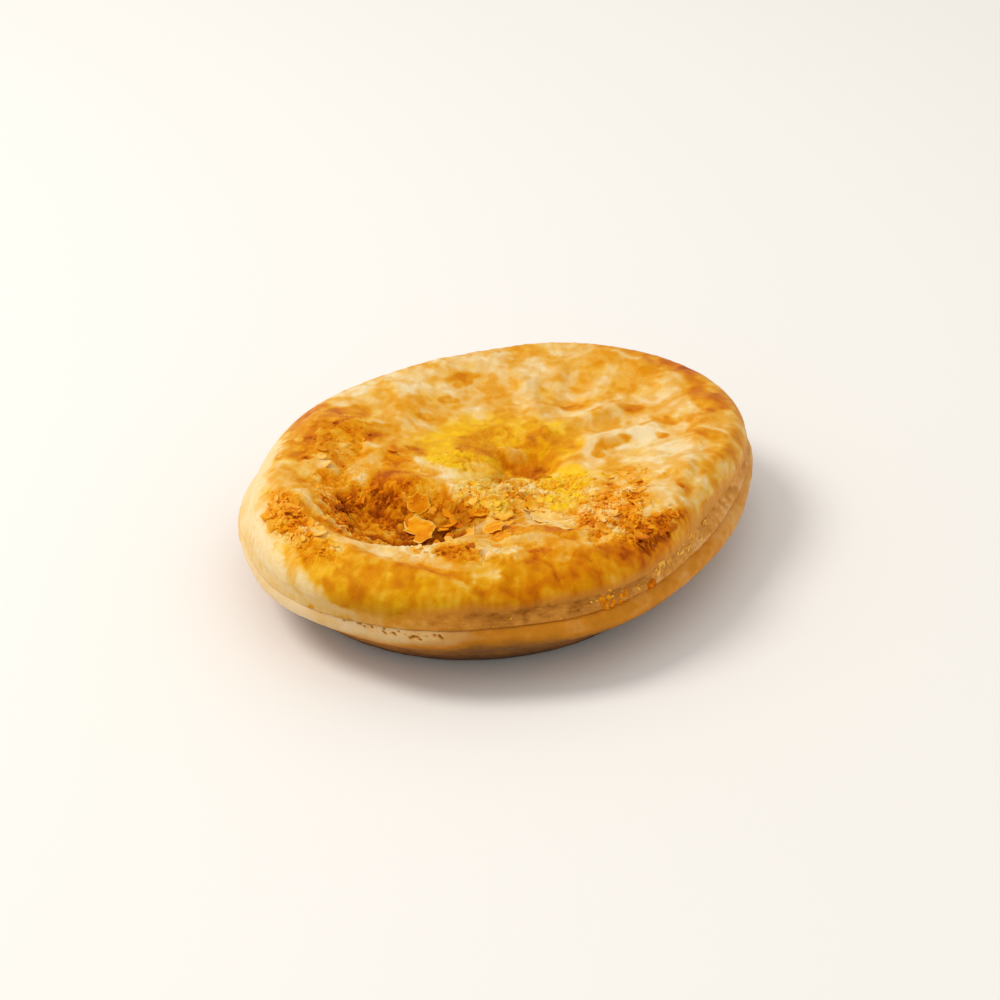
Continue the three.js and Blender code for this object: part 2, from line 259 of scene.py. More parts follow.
# How far each place of the lid is browned, and where egg glaze has pooled. Places are on the pie's own axes.
# A patch is x, y, half length, half width, turn, level, strength. A band runs along the edge between two
# angles and two distances inward. A stroke is a line of points and its half width. A mottle is cell, depth,
# crispness and seed.
browning = {
    "ground": 0.3,
    "mottles": [(6.5, 0.09, 1.2, 61), (3.2, 0.11, 2.4, 62), (1.4, 0.08, 2, 63)],
    "bands": [
        (-10, 2, -1, 6, 0.76, 0.95), (2, 12, -1, 5, 0.64, 0.9), (-28, -16, 0, 3, 0.48, 0.8),
        (-54, -40, 0.5, 2.6, 0.58, 0.8), (-84, -58, 1, 3, 0.46, 0.75), (-100, -84, -1, 3, 0.62, 0.9),
        (-128, -98, -1, 6, 0.62, 0.95), (-180, -126, -1, 7.5, 0.52, 0.95), (-172, -136, -1, 2.4, 0.64, 0.9),
        (104, 136, 0, 6, 0.6, 0.9), (120, 150, -1, 2.5, 0.46, 0.8), (168, 180, 0, 3, 0.36, 0.7),
    ],
    "patches": [
        # back and right
        (8, 34, 26, 7, -14, 0.22, 0.8), (20, 14, 12, 9, 20, 0.21, 0.8), (36, 18, 14, 8, -30, 0.33, 0.7),
        (43, 2, 9, 12, 20, 0.42, 0.8), (22, -22, 18, 9, 52, 0.15, 0.95),
        (45.5, -18, 3.8, 7.5, -25, 0.66, 0.95), (42, -26.5, 3, 4, -40, 0.34, 0.9),
        (27.5, 5, 3.2, 1.6, -48, 0.66, 0.95), (34.6, -5.5, 4, 2.1, -48, 0.64, 0.95),
        (29.5, -18, 1.4, 2.1, 0, 0.62, 0.9), (35.5, -15.5, 1.5, 3, 20, 0.58, 0.85),
        (15.5, -12.5, 1.7, 1.2, -48, 0.62, 0.85), (32.8, -28.8, 5.4, 2.2, 85, 0.66, 0.9),
        (17, 28.2, 5.2, 2.6, -13, 0.54, 0.95), (9, 25, 2.8, 1.4, -30, 0.62, 0.85),
        (0.5, 24, 2.4, 1.3, -45, 0.54, 0.95), (2, 36, 5, 2.4, -20, 0.36, 0.6), (27, 19, 3, 2, 0, 0.38, 0.5),
        (11, -37.5, 2.6, 1.5, -48, 0.56, 0.85), (11, -37.5, 1.1, 0.7, -48, 0.86, 0.9),
        # left back
        (-13, 35, 6.5, 3.6, -10, 0.66, 0.95), (-22, 30, 10, 6, 25, 0.64, 0.95),
        (-31, 30, 6.5, 4.5, 35, 0.58, 0.95), (-14, 26.5, 7, 3, -20, 0.64, 0.9),
        (-24, 23.5, 7, 2.6, 10, 0.6, 0.85), (-12.5, 32.5, 2.6, 1, -40, 0.3, 0.8),
        (-17, 33, 2.2, 0.9, -30, 0.36, 0.7), (-28, 33, 1.3, 1.2, 0, 0.2, 0.8),
        (-17, 22.7, 2, 1.2, 0, 0.3, 0.7), (-34, 23.5, 6, 2.6, 25, 0.3, 0.85),
        (-39, 26, 5.5, 4, 45, 0.25, 0.9), (-32, 26.4, 1.5, 0.7, -48, 0.78, 0.95),
        (-22, 18, 9, 4.5, -20, 0.58, 0.85), (-13, 17, 6, 4.5, 0, 0.52, 0.75),
        (-11, 17, 1.8, 1.2, -40, 0.72, 0.85), (-12.5, 11.5, 3.2, 2, -45, 0.13, 0.85),
        (-38, 20, 6, 3, 30, 0.42, 0.75), (-33, 19, 7, 2.8, -10, 0.6, 0.85),
        # crater
        (-32, 3, 18, 11.5, -56, 0.68, 1), (-24, 10, 6.5, 4, -40, 0.76, 0.9),
        (-30, 11.5, 5, 3.6, -50, 0.78, 0.8), (-37, 7, 5, 4, -56, 0.7, 0.9),
        (-36, -1, 4, 2.4, -50, 0.84, 0.85), (-20, 2.5, 3.8, 3, -50, 0.56, 0.9),
        (-21, -7, 5, 3, -40, 0.7, 0.9), (-27, -9, 4, 2, -40, 0.9, 0.9),
        (-42, 13, 3.8, 1.5, -60, 0.38, 0.85), (-38.5, 14.5, 3, 1.5, -40, 0.44, 0.7),
        (-46.5, 6.5, 7, 2.9, -68, 0.62, 0.95),
        # left crumbs
        (-51.5, 11, 12.5, 4.8, 64, 0.5, 0.97), (-54, -2, 5.5, 2.6, -72, 0.52, 0.9),
        (-47, 16.5, 1.8, 1.3, -20, 0.7, 0.8), (-56, 1.5, 4.5, 1.8, 78, 0.56, 0.85),
        # front left: yellow shoulder, white patch, orange spots
        (-53, -4, 4.5, 2.2, -75, 0.5, 0.9), (-52.6, -3.6, 2, 1, -60, 0.26, 0.85),
        (-49.3, -12.3, 0.9, 0.7, -60, 0.26, 0.8), (-53, -13, 2.6, 1.5, -60, 0.68, 0.85),
        (-49.5, -17.5, 3, 1.6, -60, 0.66, 0.8), (-56, -7.5, 1.7, 1, -66, 0.72, 0.85),
        (-45, -24, 7.5, 4, -60, 0.56, 0.8), (-43.5, -27, 0.9, 2.6, 30, 0.28, 0.6),
        # terrace and front facets
        (-38.8, -22, 5.5, 2, -56, 0.58, 0.9), (-36.5, -25.2, 1.6, 0.9, -50, 0.7, 0.85),
        (-38, -29.6, 3, 1.2, -48, 0.16, 0.95), (-35.5, -32.3, 2.2, 0.8, -48, 0.78, 0.9),
        (-32, -35, 6.5, 6, -48, 0.62, 0.95), (-26, -40, 6, 3, -30, 0.7, 0.9),
        (-20, -41, 6, 3.4, -20, 0.6, 0.9), (-14, -43, 5, 3, -10, 0.7, 0.95),
        (-32, -28.5, 2.6, 1, -48, 0.22, 0.9), (-26.5, -33.6, 3, 1.5, -60, 0.62, 0.9),
        (-37.6, -25.6, 1.6, 1.2, -50, 0.6, 0.85), (-39.8, -30, 2, 1.3, -50, 0.36, 0.85),
        (-17, -37.2, 3.6, 1.2, -35, 0.22, 0.9), (-21.5, -38.5, 2.2, 1.6, -30, 0.6, 0.9),
        (-26, -22, 3.8, 2.4, -48, 0.64, 0.9), (-24, -27, 3.5, 1.8, -48, 0.42, 0.8),
        (-23, -17, 2.5, 1.6, -40, 0.36, 0.8),
        # flaky middle
        (-14.5, -22.5, 9, 3.6, 59, 0.14, 0.95), (-13, -7, 8, 7, -45, 0.3, 0.9),
        (-16.5, -12, 4, 2.6, -45, 0.44, 0.8), (-7, -12, 5, 3, -45, 0.2, 0.7),
        (-11.5, 1, 4, 3, -40, 0.2, 0.8),
        # crumb field and dark tuft
        (-5, -32, 14.5, 9, 35, 0.44, 0.95), (0, -25.5, 5, 2, -20, 0.66, 0.85),
        (8, -21, 1.3, 0.8, 20, 0.62, 0.85), (6.3, -23, 1, 0.8, 0, 0.62, 0.85),
        (9, -27, 1, 1.2, 0, 0.55, 0.8), (12, -30, 3, 0.8, 60, 0.42, 0.7), (9, -34, 4, 4.4, 0, 0.13, 0.85),
        (7, -39.5, 3, 1.6, 0, 0.24, 0.8), (-4, -42.8, 9.5, 2.8, 4, 0.62, 0.95),
        (-10, -44, 2.2, 1.2, 0, 0.74, 0.9), (-7, -46, 6, 1.7, 5, 0.8, 0.9),
        (4.6, -43.4, 2.2, 1.2, 20, 0.78, 0.85), (4.5, -40.8, 2.6, 1, 0, 0.24, 0.85),
        (-1, -43.5, 1.2, 0.8, 20, 0.78, 0.8),
        # steam hole and its surround
        (4, 3, 17, 15, 60, 0.4, 0.9), (5, 8, 11, 7, -40, 0.58, 0.85), (12, -2, 5, 5, 0, 0.54, 0.8),
        (-4, -19, 6, 3.5, -40, 0.08, 0.85), (3, -13, 5, 5, 30, 0.1, 0.85), (-7, 10, 4, 3, -40, 0.3, 0.7),
        (5.2, 3.2, 2.8, 2, -48, 0.4, 0.7), (1.5, -8.5, 5, 1.6, -35, 0.1, 0.8),
    ],
    "strokes": [
        ([(17, -12), (24, -12.5)], 1.3, 0.56, 0.85), ([(20, 6), (27, 1), (33, 0.5)], 1.2, 0.1, 0.8),
        ([(31, -12), (34.5, -12.5)], 0.9, 0.56, 0.7), ([(26, 12), (31, 9)], 1.6, 0.14, 0.7),
        ([(38, -10), (44, -12)], 1.3, 0.52, 0.7),
        ([(-52, 6), (-51.2, 1), (-50.5, -2), (-47.5, -6.5), (-44.5, -10)], 0.7, 0.2, 0.9),
        ([(-46, -10), (-44.5, -15), (-43, -20.5), (-40, -25.5), (-37, -29)], 0.9, 0.3, 0.7),
        ([(-53, 4), (-54.5, 1), (-55.5, -2.5)], 0.6, 0.62, 0.8), ([(-54.5, -6), (-55, -9)], 0.8, 0.36, 0.7),
        ([(-53.5, -10.5), (-52.5, -15.5)], 0.7, 0.66, 0.7), ([(-50, -19), (-48, -23)], 0.9, 0.66, 0.7),
        ([(-47, -21), (-46, -25), (-43.5, -28.5)], 0.7, 0.38, 0.6),
        ([(-42, -12.5), (-39, -17), (-36, -21)], 1, 0.3, 0.6),
        ([(-51, -6.5), (-49.8, -9), (-48, -12.5)], 1.1, 0.56, 0.85),
        ([(-28.5, -25), (-26, -28.5), (-24.5, -31)], 1, 0.18, 0.9),
        ([(-22.5, -19.5), (-22.3, -25), (-21, -28.5), (-18.5, -32.5)], 2.4, 0.6, 0.95),
        # painted shade: this stroke and the next darken the steam hole's bottom, behind its near lip
        ([(-3, 10), (0, 7), (3, 4)], 1.6, 0.64, 0.85),
        ([(3.5, 3.5), (6.5, 0), (6, -4), (2.5, -8)], 2.2, 0.84, 0.95),
        ([(10.5, 2.8), (10.5, 2.2)], 1.5, 0.76, 0.85), ([(4.4, 3.8), (6, 2)], 2.3, 0.42, 0.75),
        ([(-11, -33.2), (-15.6, -35.6), (-21, -36.3), (-24.6, -36.9)], 1.5, 0.32, 0.85),
        ([(22, -38.5), (27, -36.5)], 1.3, 0.28, 0.8), ([(-31.5, -31.5), (-29.5, -32.5)], 1.2, 0.34, 0.8),
        ([(-44.6, 14), (-44, 9.5), (-42, 6), (-43, 3.5)], 0.6, 0.16, 0.85),
        ([(-50, 3), (-47.5, 0.5), (-44.5, -1.5)], 0.5, 0.2, 0.8),
    ],
}
glaze = {
    "ground": 0.02,
    "mottles": [(3.2, 0.14, 2.2, 71), (1.3, 0.13, 2.2, 72)],
    "bands": [
        (170, 180, -1, 4, 0.45, 0.8), (-180, -130, -1, 5.5, 0.52, 0.95), (-172, -148, -1, 2.4, 0.7, 0.9),
        (-132, -112, -1, 4, 0.28, 0.8), (120, 150, -1, 3, 0.4, 0.8),
    ],
    "patches": [
        (3, 11, 16, 10, -20, 0.95, 1), (12, 0, 9, 10, 20, 0.9, 0.95), (3, -13, 6.5, 8, 30, 0.95, 1),
        (-4, -19, 6.5, 4, -40, 1, 1), (-8, 9, 6.5, 5.5, -40, 0.9, 0.9), (9, -19, 5, 3.5, 0, 0.35, 0.7),
        (-8, 0, 8, 6, 0, 0.58, 0.85), (-13, -9, 10, 8, -45, 0.5, 0.85), (-17, -12, 4, 2.6, -45, 0.68, 0.8),
        (2, 1, 6, 5, -48, 0.8, 0.8), (-53, -4, 4.5, 2.2, -75, 0.5, 0.8), (46, -20, 4.5, 7, -25, 0.3, 0.8),
        (27.5, 5, 2.7, 1.4, -48, 0.35, 0.8), (-24, 4, 3, 2.5, 0, 0.3, 0.6), (-20, 2, 4, 3, -50, 0.25, 0.7),
        (-52.6, -3.6, 2.2, 1.2, -60, 0, 0.9), (5.2, 3.2, 2.6, 1.8, -48, 0.15, 0.85),
        (-53, -13, 2.4, 1.4, -60, 0.1, 0.8), (-45, -24, 6, 3, -60, 0.35, 0.7),
        (-22, 31, 14, 6, 20, 0.34, 0.8), (-34, 27, 5, 3, 45, 0.4, 0.8),
    ],
    "strokes": [
        ([(4.5, 1.5), (6, -3), (3, -7)], 1.8, 0.4, 0.9), ([(4.4, 3.8), (6, 2)], 2.3, 0.12, 0.8),
        ([(-46, -10), (-44.5, -15), (-43, -20.5), (-40, -25.5), (-37, -29)], 1.5, 0.12, 0.8),
    ],
}
brush = {
    "warps": [(5, 1.3, 41), (1.9, 0.7, 42), (0.8, 0.3, 43)],  # how an outline wanders: cell, size, seed
    "edgeWarp": (3.3, 0.9, 40),
    "mottleWarp": 0.6,
    "bandFade": (9, 2),  # degrees along the edge, mm inward
    "patchEdge": (0.68, 1.1),
    "strokeEdge": (0.55, 1.15),
    "looseFrom": (3.5, 2),  # half width from which a patch and a stroke wander in full
    "unrolling": 0.8,
}


def lineDistance(x, y, points):
    away = np.full(np.shape(x), 1e3)
    for (ax, ay), (bx, by) in zip(points, points[1:]):
        share, right, length = alongLine(x, y, ax, ay, bx, by)
        away = np.minimum(away, np.hypot(right, (share - np.clip(share, 0, 1)) * length))
    return away


def edgeShare(angle, inward, first, last, outer, inner):  # 0 within the band, 1 a little way out of it
    along, across = brush["bandFade"]
    past = np.abs((np.degrees(angle) - (first + last) / 2 + 180) % 360 - 180) - (last - first) / 2
    off = np.maximum(np.abs(inward - (outer + inner) / 2) - (inner - outer) / 2, 0)
    return np.hypot(np.maximum(past, 0) / along, off / across)


def painted(x, y, paint, spread=1.0):  # spread unrolls the noise where the shoulder is steep
    px, py = pieAxes(x, y)
    nx, ny = x * spread, y * spread
    dx, dy = (sum(size * noise(nx, ny, cell, seed + more) for cell, size, seed in brush["warps"])
              for more in (0, 50))
    angle, inward = placeOnLid(x, y)
    cell, size, seed = brush["edgeWarp"]
    inward = inward + size * noise(nx, ny, cell, seed)
    level = np.full(np.shape(x), paint["ground"], float)
    for *band, target, strength in paint["bands"]:
        level += (target - level) * strength * (1 - smooth(0, 1, edgeShare(angle, inward, *band)))
    for *patch, target, strength in paint["patches"]:
        loose = min(1, patch[3] / brush["looseFrom"][0])
        share = ellipseShare(px + loose * dx, py + loose * dy, *patch)
        level += (target - level) * strength * (1 - smooth(*brush["patchEdge"], share))
    for points, halfWidth, target, strength in paint["strokes"]:
        loose = min(1, halfWidth / brush["looseFrom"][1])
        away = lineDistance(px + loose * dx, py + loose * dy, points) / halfWidth
        level += (target - level) * strength * (1 - smooth(*brush["strokeEdge"], away))
    mx, my = nx + brush["mottleWarp"] * dx, ny + brush["mottleWarp"] * dy
    for cell, depth, crisp, seed in paint["mottles"]:
        level += depth * np.clip(crisp * noise(mx, my, cell, seed), -1, 1)
    return level


def unrolled(x, y):  # how much further it is down the steep shoulder than it looks from above
    angle, inward = placeOnLid(x, y)
    drop = swollen(*pieForm["shoulderRise"], angle) * (1 - shoulderShare(angle, inward))
    return 1 + brush["unrolling"] * drop / np.maximum(np.hypot(x, y), 1)


# Fine relief that only shows close up: jumbled chips of pastry, torn layers, lips, cracks and pits.
chips = [  # cell, height, crack, narrowness, turn, seed, how much its colour varies, how much painted shade darkens its cracks
    (3.1, 0.46, 0.22, 0.8, -40, 31, 0.42, 0.22),
    (1.6, 0.3, 0.16, 0.75, 20, 33, 0.32, 0.16),
]
chipLook = {"step": 1.1, "lean": 1.3, "leanShade": 0.18, "eggTone": 0.5, "grit": (0.8, 0.07, 52)}
# On the torn layers, a painted highlight makes each terrace's upper edge paler, and painted shadow with some
# browning makes its foot darker.
layers = {"cell": 8, "seed": 35, "mottles": [(0.3, 2.4, 36, 1), (0.12, 1, 37, 1)], "steps": 3.2, "rise": 0.42,
          "slope": 0.75, "edgeAt": (0, 0.14), "highlightEdge": (0.2, 0.04, 0.12, 0.16, 0.34),
          "shadeDarkening": (0.22, 0.82, 0.98)}
wrinkles = {"turn": 35, "along": 3.2, "across": 1, "height": 0.07, "seed": 55}
facets = {"cell": 6.5, "narrow": 0.8, "turn": 30, "height": 0.16, "seed": 57}
# How far each outline wanders: size, cell, and a seed for each axis.
wanders = {"places": (1.2, 4, 45, 46), "chips": (0.35, 0.9, 58, 59), "lips": (0.6, 2, 47, 48),
           "grooves": (0.3, 1.2, 49, 51)}
# Where the lid is crumbly: x, y, half length, half width, turn, how much, and how much its colour varies.
roughPlaces = [
    (-32, 3, 18, 11, -56, 1, 0.7), (-5, -32, 14.5, 9, 35, 1, 1), (-51.5, 11, 13, 4.6, 64, 1, 0.45),
    (-4, -42.8, 10, 3, 4, 1, 0.6), (-12, -9, 12, 10, -45, 1, 1.15), (-22, 28, 13, 8, 15, 0.45, 0.8),
    (-33, 19, 8, 4, -10, 0.6, 0.7), (-39.5, -17, 9, 2.8, -58, 0.8, 0.7), (-38, -23, 6, 2.6, -56, 0.25, 1),
    (-27, -32.3, 4, 2.6, -30, 0.25, 1), (-1, -15, 10, 8, -45, 0.8, 0.8), (-24, -24, 5, 4, -48, 0.6, 0.7),
    (-54.5, -1.5, 6.5, 3, -75, 0.9, 0.4), (-8, 7, 8, 6, -40, 0.6, 0.7), (6, 4, 12, 11, 0, 0.35, 0.7),
    (-17, 14, 8, 6, 0, 0.3, 0.7), (-32, -29, 3.2, 2, -48, 0.5, 0.6), (8, -26, 6, 7, 0, 0.45, 0.8),
]
# Where it is torn into layers: x, y, half length, half width, turn, how much.
layerPlaces = [
    (-13, -12, 16, 12, -50, 1), (-30, 8, 20, 16, -50, 0.7), (-8, -30, 18, 11, 30, 0.6),
    (-38, -20, 14, 6, -56, 0.9), (-50, 8, 16, 6, 68, 0.6), (-26, -30, 12, 5, -40, 0.5),
]
# Thin lips of pastry, along the front crest and the torn wall on the left: points, half width, height.
lips = [
    ([(-52.5, 7), (-51.5, 3), (-50.5, -1), (-48.5, -5), (-44.5, -9.5), (-40.5, -14), (-36, -18.5),
      (-31, -23.5), (-25.5, -28), (-20.5, -32), (-16, -35)], 0.7, 0.42),
    ([(-45, 14), (-44.3, 9.5), (-42.3, 6), (-43.3, 3.5)], 0.5, 0.75),
]
# Cracks and creases: points, half width, depth, and how much darker, painted shade in the crease with some
# browning.
grooves = [
    ([(-34.7, 14.6), (-35.6, 12.5), (-36.4, 10.3)], 0.5, 1.1, 0.5),
    ([(-29, -33), (-28, -36.5), (-29, -40.5)], 0.5, 0.35, 0.12),
    ([(-24, -37), (-21, -41), (-22, -44)], 0.5, 0.25, 0.1), ([(-38, -33), (-35.5, -37)], 0.5, 0.25, 0.1),
    ([(-50, 11.5), (-51.5, 8.5), (-50.5, 5.5)], 0.5, 0.5, 0.3),
    ([(-10.6, -42.6), (-9.4, -45.6)], 0.6, 0.8, 0.25), ([(-2.4, -43), (-1.6, -45.8)], 0.5, 0.6, 0.2),
    ([(3.8, -40.6), (4.6, -43.5)], 0.45, 0.6, 0.2),
    ([(-27.5, -8), (-25.5, -11), (-23.5, -14.5)], 0.7, 0.7, 0.25),
    ([(-38, 2.5), (-35.5, -2), (-33, -6)], 0.9, 0.8, 0.25), ([(-43.6, 8.2), (-42.6, 5.2)], 0.6, 0.7, 0.3),
]
# Small holes baked into the lid: x, y, radius, depth.
pits = [
    (11, -37.5, 0.9, 0.5), (-32, 26.4, 0.8, 0.4), (0.5, 24, 1.3, 0.25), (-35.3, -26, 1.2, 0.9),
    (-33.5, 14.5, 1.2, 1), (-11, 17, 1, 0.4), (15.5, -12.5, 0.9, 0.3), (2.5, -3, 3.2, 1),
]


def shattered(x, y, cell, narrow, turn, seed):  # broken into cells: a draw for each, its tilt, and cracks
    u, v = turned(x, y, turn)
    u, v = u / cell, v / (cell * narrow)
    i, j = np.floor(u), np.floor(v)
    nearest, second = np.full(np.shape(u), 9.0), np.full(np.shape(u), 9.0)
    tone, tilt = np.zeros(np.shape(u)), np.zeros(np.shape(u))
    for a in (-1, 0, 1):
        for b in (-1, 0, 1):
            ci, cj = i + a, j + b
            du, dv = u - ci - draw(ci, cj, seed), v - cj - draw(ci, cj, seed + 1)
            away = np.hypot(du, dv)
            closer = away < nearest
            second = np.where(closer, nearest, np.minimum(second, away))
            nearest = np.where(closer, away, nearest)
            tone = np.where(closer, draw(ci, cj, seed + 2), tone)
            lean = (draw(ci, cj, seed + 3) * 2 - 1) * du + (draw(ci, cj, seed + 4) * 2 - 1) * dv
            tilt = np.where(closer, lean, tilt)
    return tone, tilt, 1 - smooth(0.03, 0.22, second - nearest)


def thickness(x, y, places):
    return thickest(*wandering(x, y, pieAxes(x, y), *wanders["places"]), places, 0.6, 1.12)


def fineRelief(x, y):
    px, py = pieAxes(x, y)
    fade = smooth(0.2, 2, placeOnLid(x, y)[1])
    rough, torn = thickness(x, y, [place[:6] for place in roughPlaces]), thickness(x, y, layerPlaces)
    varied = thickness(x, y, [(*place[:5], place[5] * place[6]) for place in roughPlaces])
    rise, tone, eggTone = np.zeros_like(x), np.zeros_like(x), np.zeros_like(x)
    wx, wy = wandering(x, y, (x, y), *wanders["chips"])
    for cell, height, crackDepth, narrow, turn, seed, contrast, crackShade in chips:
        draws, tilt, crack = shattered(wx, wy, cell, narrow, turn, seed)
        high = (draws - 0.5) * chipLook["step"] + tilt * chipLook["lean"]
        rise += rough * (height * high - crackDepth * crack)
        # painted light and shade: each chip paler where it leans up, darker where it dips, and painted shade
        # in its cracks
        tone += varied * (contrast * (0.5 - draws) - chipLook["leanShade"] * tilt + crackShade * crack)
        eggTone += rough * (draws - 0.5) * chipLook["eggTone"]
    # torn layers: terraces with a pale upper edge, a painted highlight, and a dark foot, painted shadow with
    # some oven browning
    field = mottled(noise(x, y, layers["cell"], layers["seed"]), x, y, layers["mottles"]) * layers["steps"]
    part = field - np.floor(field)
    climb = np.floor(field) + smooth(*layers["edgeAt"], part)
    rise += torn * layers["rise"] * (climb - field * layers["slope"])
    edgeHighlight, a, b, c, d = layers["highlightEdge"]
    footShade, e, f = layers["shadeDarkening"]
    tone += torn * (footShade * smooth(e, f, part) - edgeHighlight * smooth(a, b, part) * (1 - smooth(c, d, part)))
    cell, size, seed = chipLook["grit"]
    rise += rough * size * noise(x, y, cell, seed)
    # the smooth skin: facets and wrinkles
    tilt = shattered(wx, wy, facets["cell"], facets["narrow"], facets["turn"], facets["seed"])[1]
    rise += (1 - rough) * facets["height"] * tilt
    u, v = turned(x, y, wrinkles["turn"])
    wrinkle = noise(u / wrinkles["along"], v / wrinkles["across"], 1, wrinkles["seed"])
    rise += (1 - rough) * wrinkles["height"] * wrinkle
    lip, shadeDarkening = np.zeros_like(x), np.zeros_like(x)
    wx, wy = wandering(x, y, (px, py), *wanders["lips"])
    for path, halfWidth, height in lips:
        away = lineDistance(wx, wy, path) / halfWidth
        edge = np.exp(-(away**2)) * (0.75 + 0.25 * noise(x, y, 3, 50))
        rise += height * edge
        lip = np.maximum(lip, edge)
    wx, wy = wandering(x, y, (px, py), *wanders["grooves"])
    for path, halfWidth, depth, browningAndShade in grooves:
        away = lineDistance(wx, wy, path) / halfWidth
        cut = 1 - smooth(0.3, 1.2, away)
        rise -= depth * cut
        shadeDarkening = np.maximum(shadeDarkening, browningAndShade * cut)
    for cx, cy, radius, depth in pits:
        away = np.hypot(px - cx, py - cy) / radius * (1 + 0.2 * noise(x, y, 1, 49))
        rise -= depth * (1 - smooth(0.4, 1.1, away))
    return rise * fade, {"rough": rough, "tone": tone * fade + shadeDarkening, "eggTone": eggTone, "lip": lip}


# Meshes.
def meshPiece(name, points, triangles, attributes=None):
    mesh = bpy.data.meshes.new(name)
    points = np.asarray(points, float) * mm
    triangles = np.asarray(triangles, np.int32)
    mesh.vertices.add(len(points))
    mesh.vertices.foreach_set("co", points.astype(np.float32).ravel())
    mesh.loops.add(triangles.size)
    mesh.loops.foreach_set("vertex_index", triangles.ravel())
    mesh.polygons.add(len(triangles))
    mesh.polygons.foreach_set("loop_start", np.arange(0, triangles.size, 3, dtype=np.int32))
    mesh.update(calc_edges=True)
    mesh.validate()
    for label, values in (attributes or {}).items():
        mesh.attributes.new(label, "FLOAT", "POINT").data.foreach_set("value", np.asarray(values, np.float32))
    mesh.polygons.foreach_set("use_smooth", np.ones(len(mesh.polygons), bool))
    piece = bpy.data.objects.new(name, mesh)
    bpy.context.scene.collection.objects.link(piece)
    return piece


def joinedPiece(name, parts, triangles):  # each part is its points and the values of its attributes
    columns = {}
    for label in parts[0][1]:
        values = [np.broadcast_to(values[label], len(points)) for points, values in parts]
        columns[label] = np.clip(np.concatenate(values), 0, 1)
    points = np.concatenate([points for points, _ in parts])
    return meshPiece(name, points, np.concatenate(triangles), columns)


def onPie(x, y, z):
    return np.column_stack([*pieAxes(np.asarray(x), np.asarray(y)), z])


def ringAt(rim, radius, z):
    return onPie(radius * np.cos(rim), radius * np.sin(rim), np.broadcast_to(z, rim.shape))


def roundTheRim(count):  # angles, and how many mm they are round the pie
    rim = 2 * math.pi * np.arange(count) / count
    return rim, rim * pieForm["rimRadius"]


def wall(rings, count):  # joins each ring of points to the one below it
    i = np.arange(count)
    after = (i + 1) % count
    triangles = []
    for upper, lower in zip(rings, rings[1:]):
        triangles += [np.column_stack([upper + i, lower + i, lower + after]),
                      np.column_stack([upper + i, lower + after, upper + after])]
    return triangles


def fan(middle, ring, count):  # joins a ring of points to a point above its middle
    i = np.arange(count)
    return np.column_stack([np.full(count, middle), ring + i, ring + (i + 1) % count])


def discOfRings(count):  # ring k has 6 k points, so its triangles stay even
    share, angle, triangles = [np.zeros(1)], [np.zeros(1)], []
    for ring in range(1, count + 1):
        share.append(np.full(6 * ring, ring / count))
        angle.append(2 * math.pi * np.arange(6 * ring) / (6 * ring))
        outer, inner = 3 * ring * (ring - 1) + 1, (3 * (ring - 1) * (ring - 2) + 1 if ring > 1 else 0)
        sector, i = np.repeat(np.arange(6), ring), np.tile(np.arange(ring), 6)
        a, b = sector * ring + i, sector * (ring - 1) + i
        aNext, bHere = (a + 1) % (6 * ring), b % max(6 * (ring - 1), 1)
        bNext = (b + 1) % max(6 * (ring - 1), 1)
        triangles.append(np.column_stack([outer + a, outer + aNext, inner + bHere]))
        short = i < ring - 1
        triangles.append(np.column_stack([inner + bHere, outer + aNext, inner + bNext])[short])
    return np.concatenate(share), np.concatenate(angle), triangles


# The side of the pie is smooth and creamy on the left, and shows the lid's cut layers elsewhere.
creamy = [
    (-180, 1), (-172, 0.9), (-160, 0.45), (-150, 0.2), (-138, 0), (60, 0), (100, 0.4), (125, 1), (180, 1),
]
# How far down the browning reaches at each angle, in mm up the shoulder from the lid's edge.
paleLine = [
    (-180, 4.6), (-177, 3.4), (-173, 0.6), (-169, -0.6), (-164, -1), (-158, -0.2), (-152, 0.8),
    (-146, 1.5), (-133, 1.6), (-120, 1.5), (-112, 1.4), (-106, 0.7), (-100, 0.5), (-93, 0.8), (-87, 1.4),
    (-80, 2.2), (-68, 2.4), (-52, 2.4), (-42, 1.6), (-34, 0.2), (-20, -0.8), (60, -0.6), (100, -0.4),
    (115, 4.4), (128, 8.4), (138, 9), (144, 8.1), (150, 7), (157, 6.3), (163, 6.1), (171, 6.6),
    (176, 5.8), (180, 4.6),
]
# How dark the cut layers are at the bottom: their browning, and painted shade, darkest on the front.
cutBrowningAndShade = [
    (-180, 0.4), (-155, 0.6), (-140, 0.6), (-120, 0.58), (-104, 0.46), (-80, 0.36), (-50, 0.34),
    (-20, 0.45), (180, 0.5),
]
# How near the lid's skirt comes to the pie's widest line at each angle, and how full it bulges.
skirtInset = [
    (-180, 0.45), (-172, 0.6), (-165, 1), (-152, 1.6), (-120, 1.9), (-100, 1.7), (-60, 1.6), (-35, 1),
    (50, 0.9), (90, 1.4), (125, 0.7), (150, 0.45), (180, 0.45),
]
fullness = [
    (-180, 1), (-155, 0.8), (-135, 0.4), (-60, 0.25), (-38, 0.8), (-20, 1), (60, 1), (100, 0.7), (150, 1),
    (180, 1),
]
# How much painted shade darkens the low front, and how blotched the bare dough is with yellow.
paintedShadeKnots = [
    (-180, 0.5), (-174, 0.75), (-165, 1), (-145, 1), (-134, 0.6), (-118, 0.25), (-104, 0.1), (-90, 0),
    (150, 0), (168, 0.3), (180, 0.5),
]
blotching = [
    (-180, 1), (-168, 0.8), (-152, 0.2), (-140, 0), (148, 0), (162, 0.8), (180, 1),
]


def atAngle(angle, knots):
    return np.interp((np.degrees(angle) + 180) % 360 - 180, *zip(*knots))


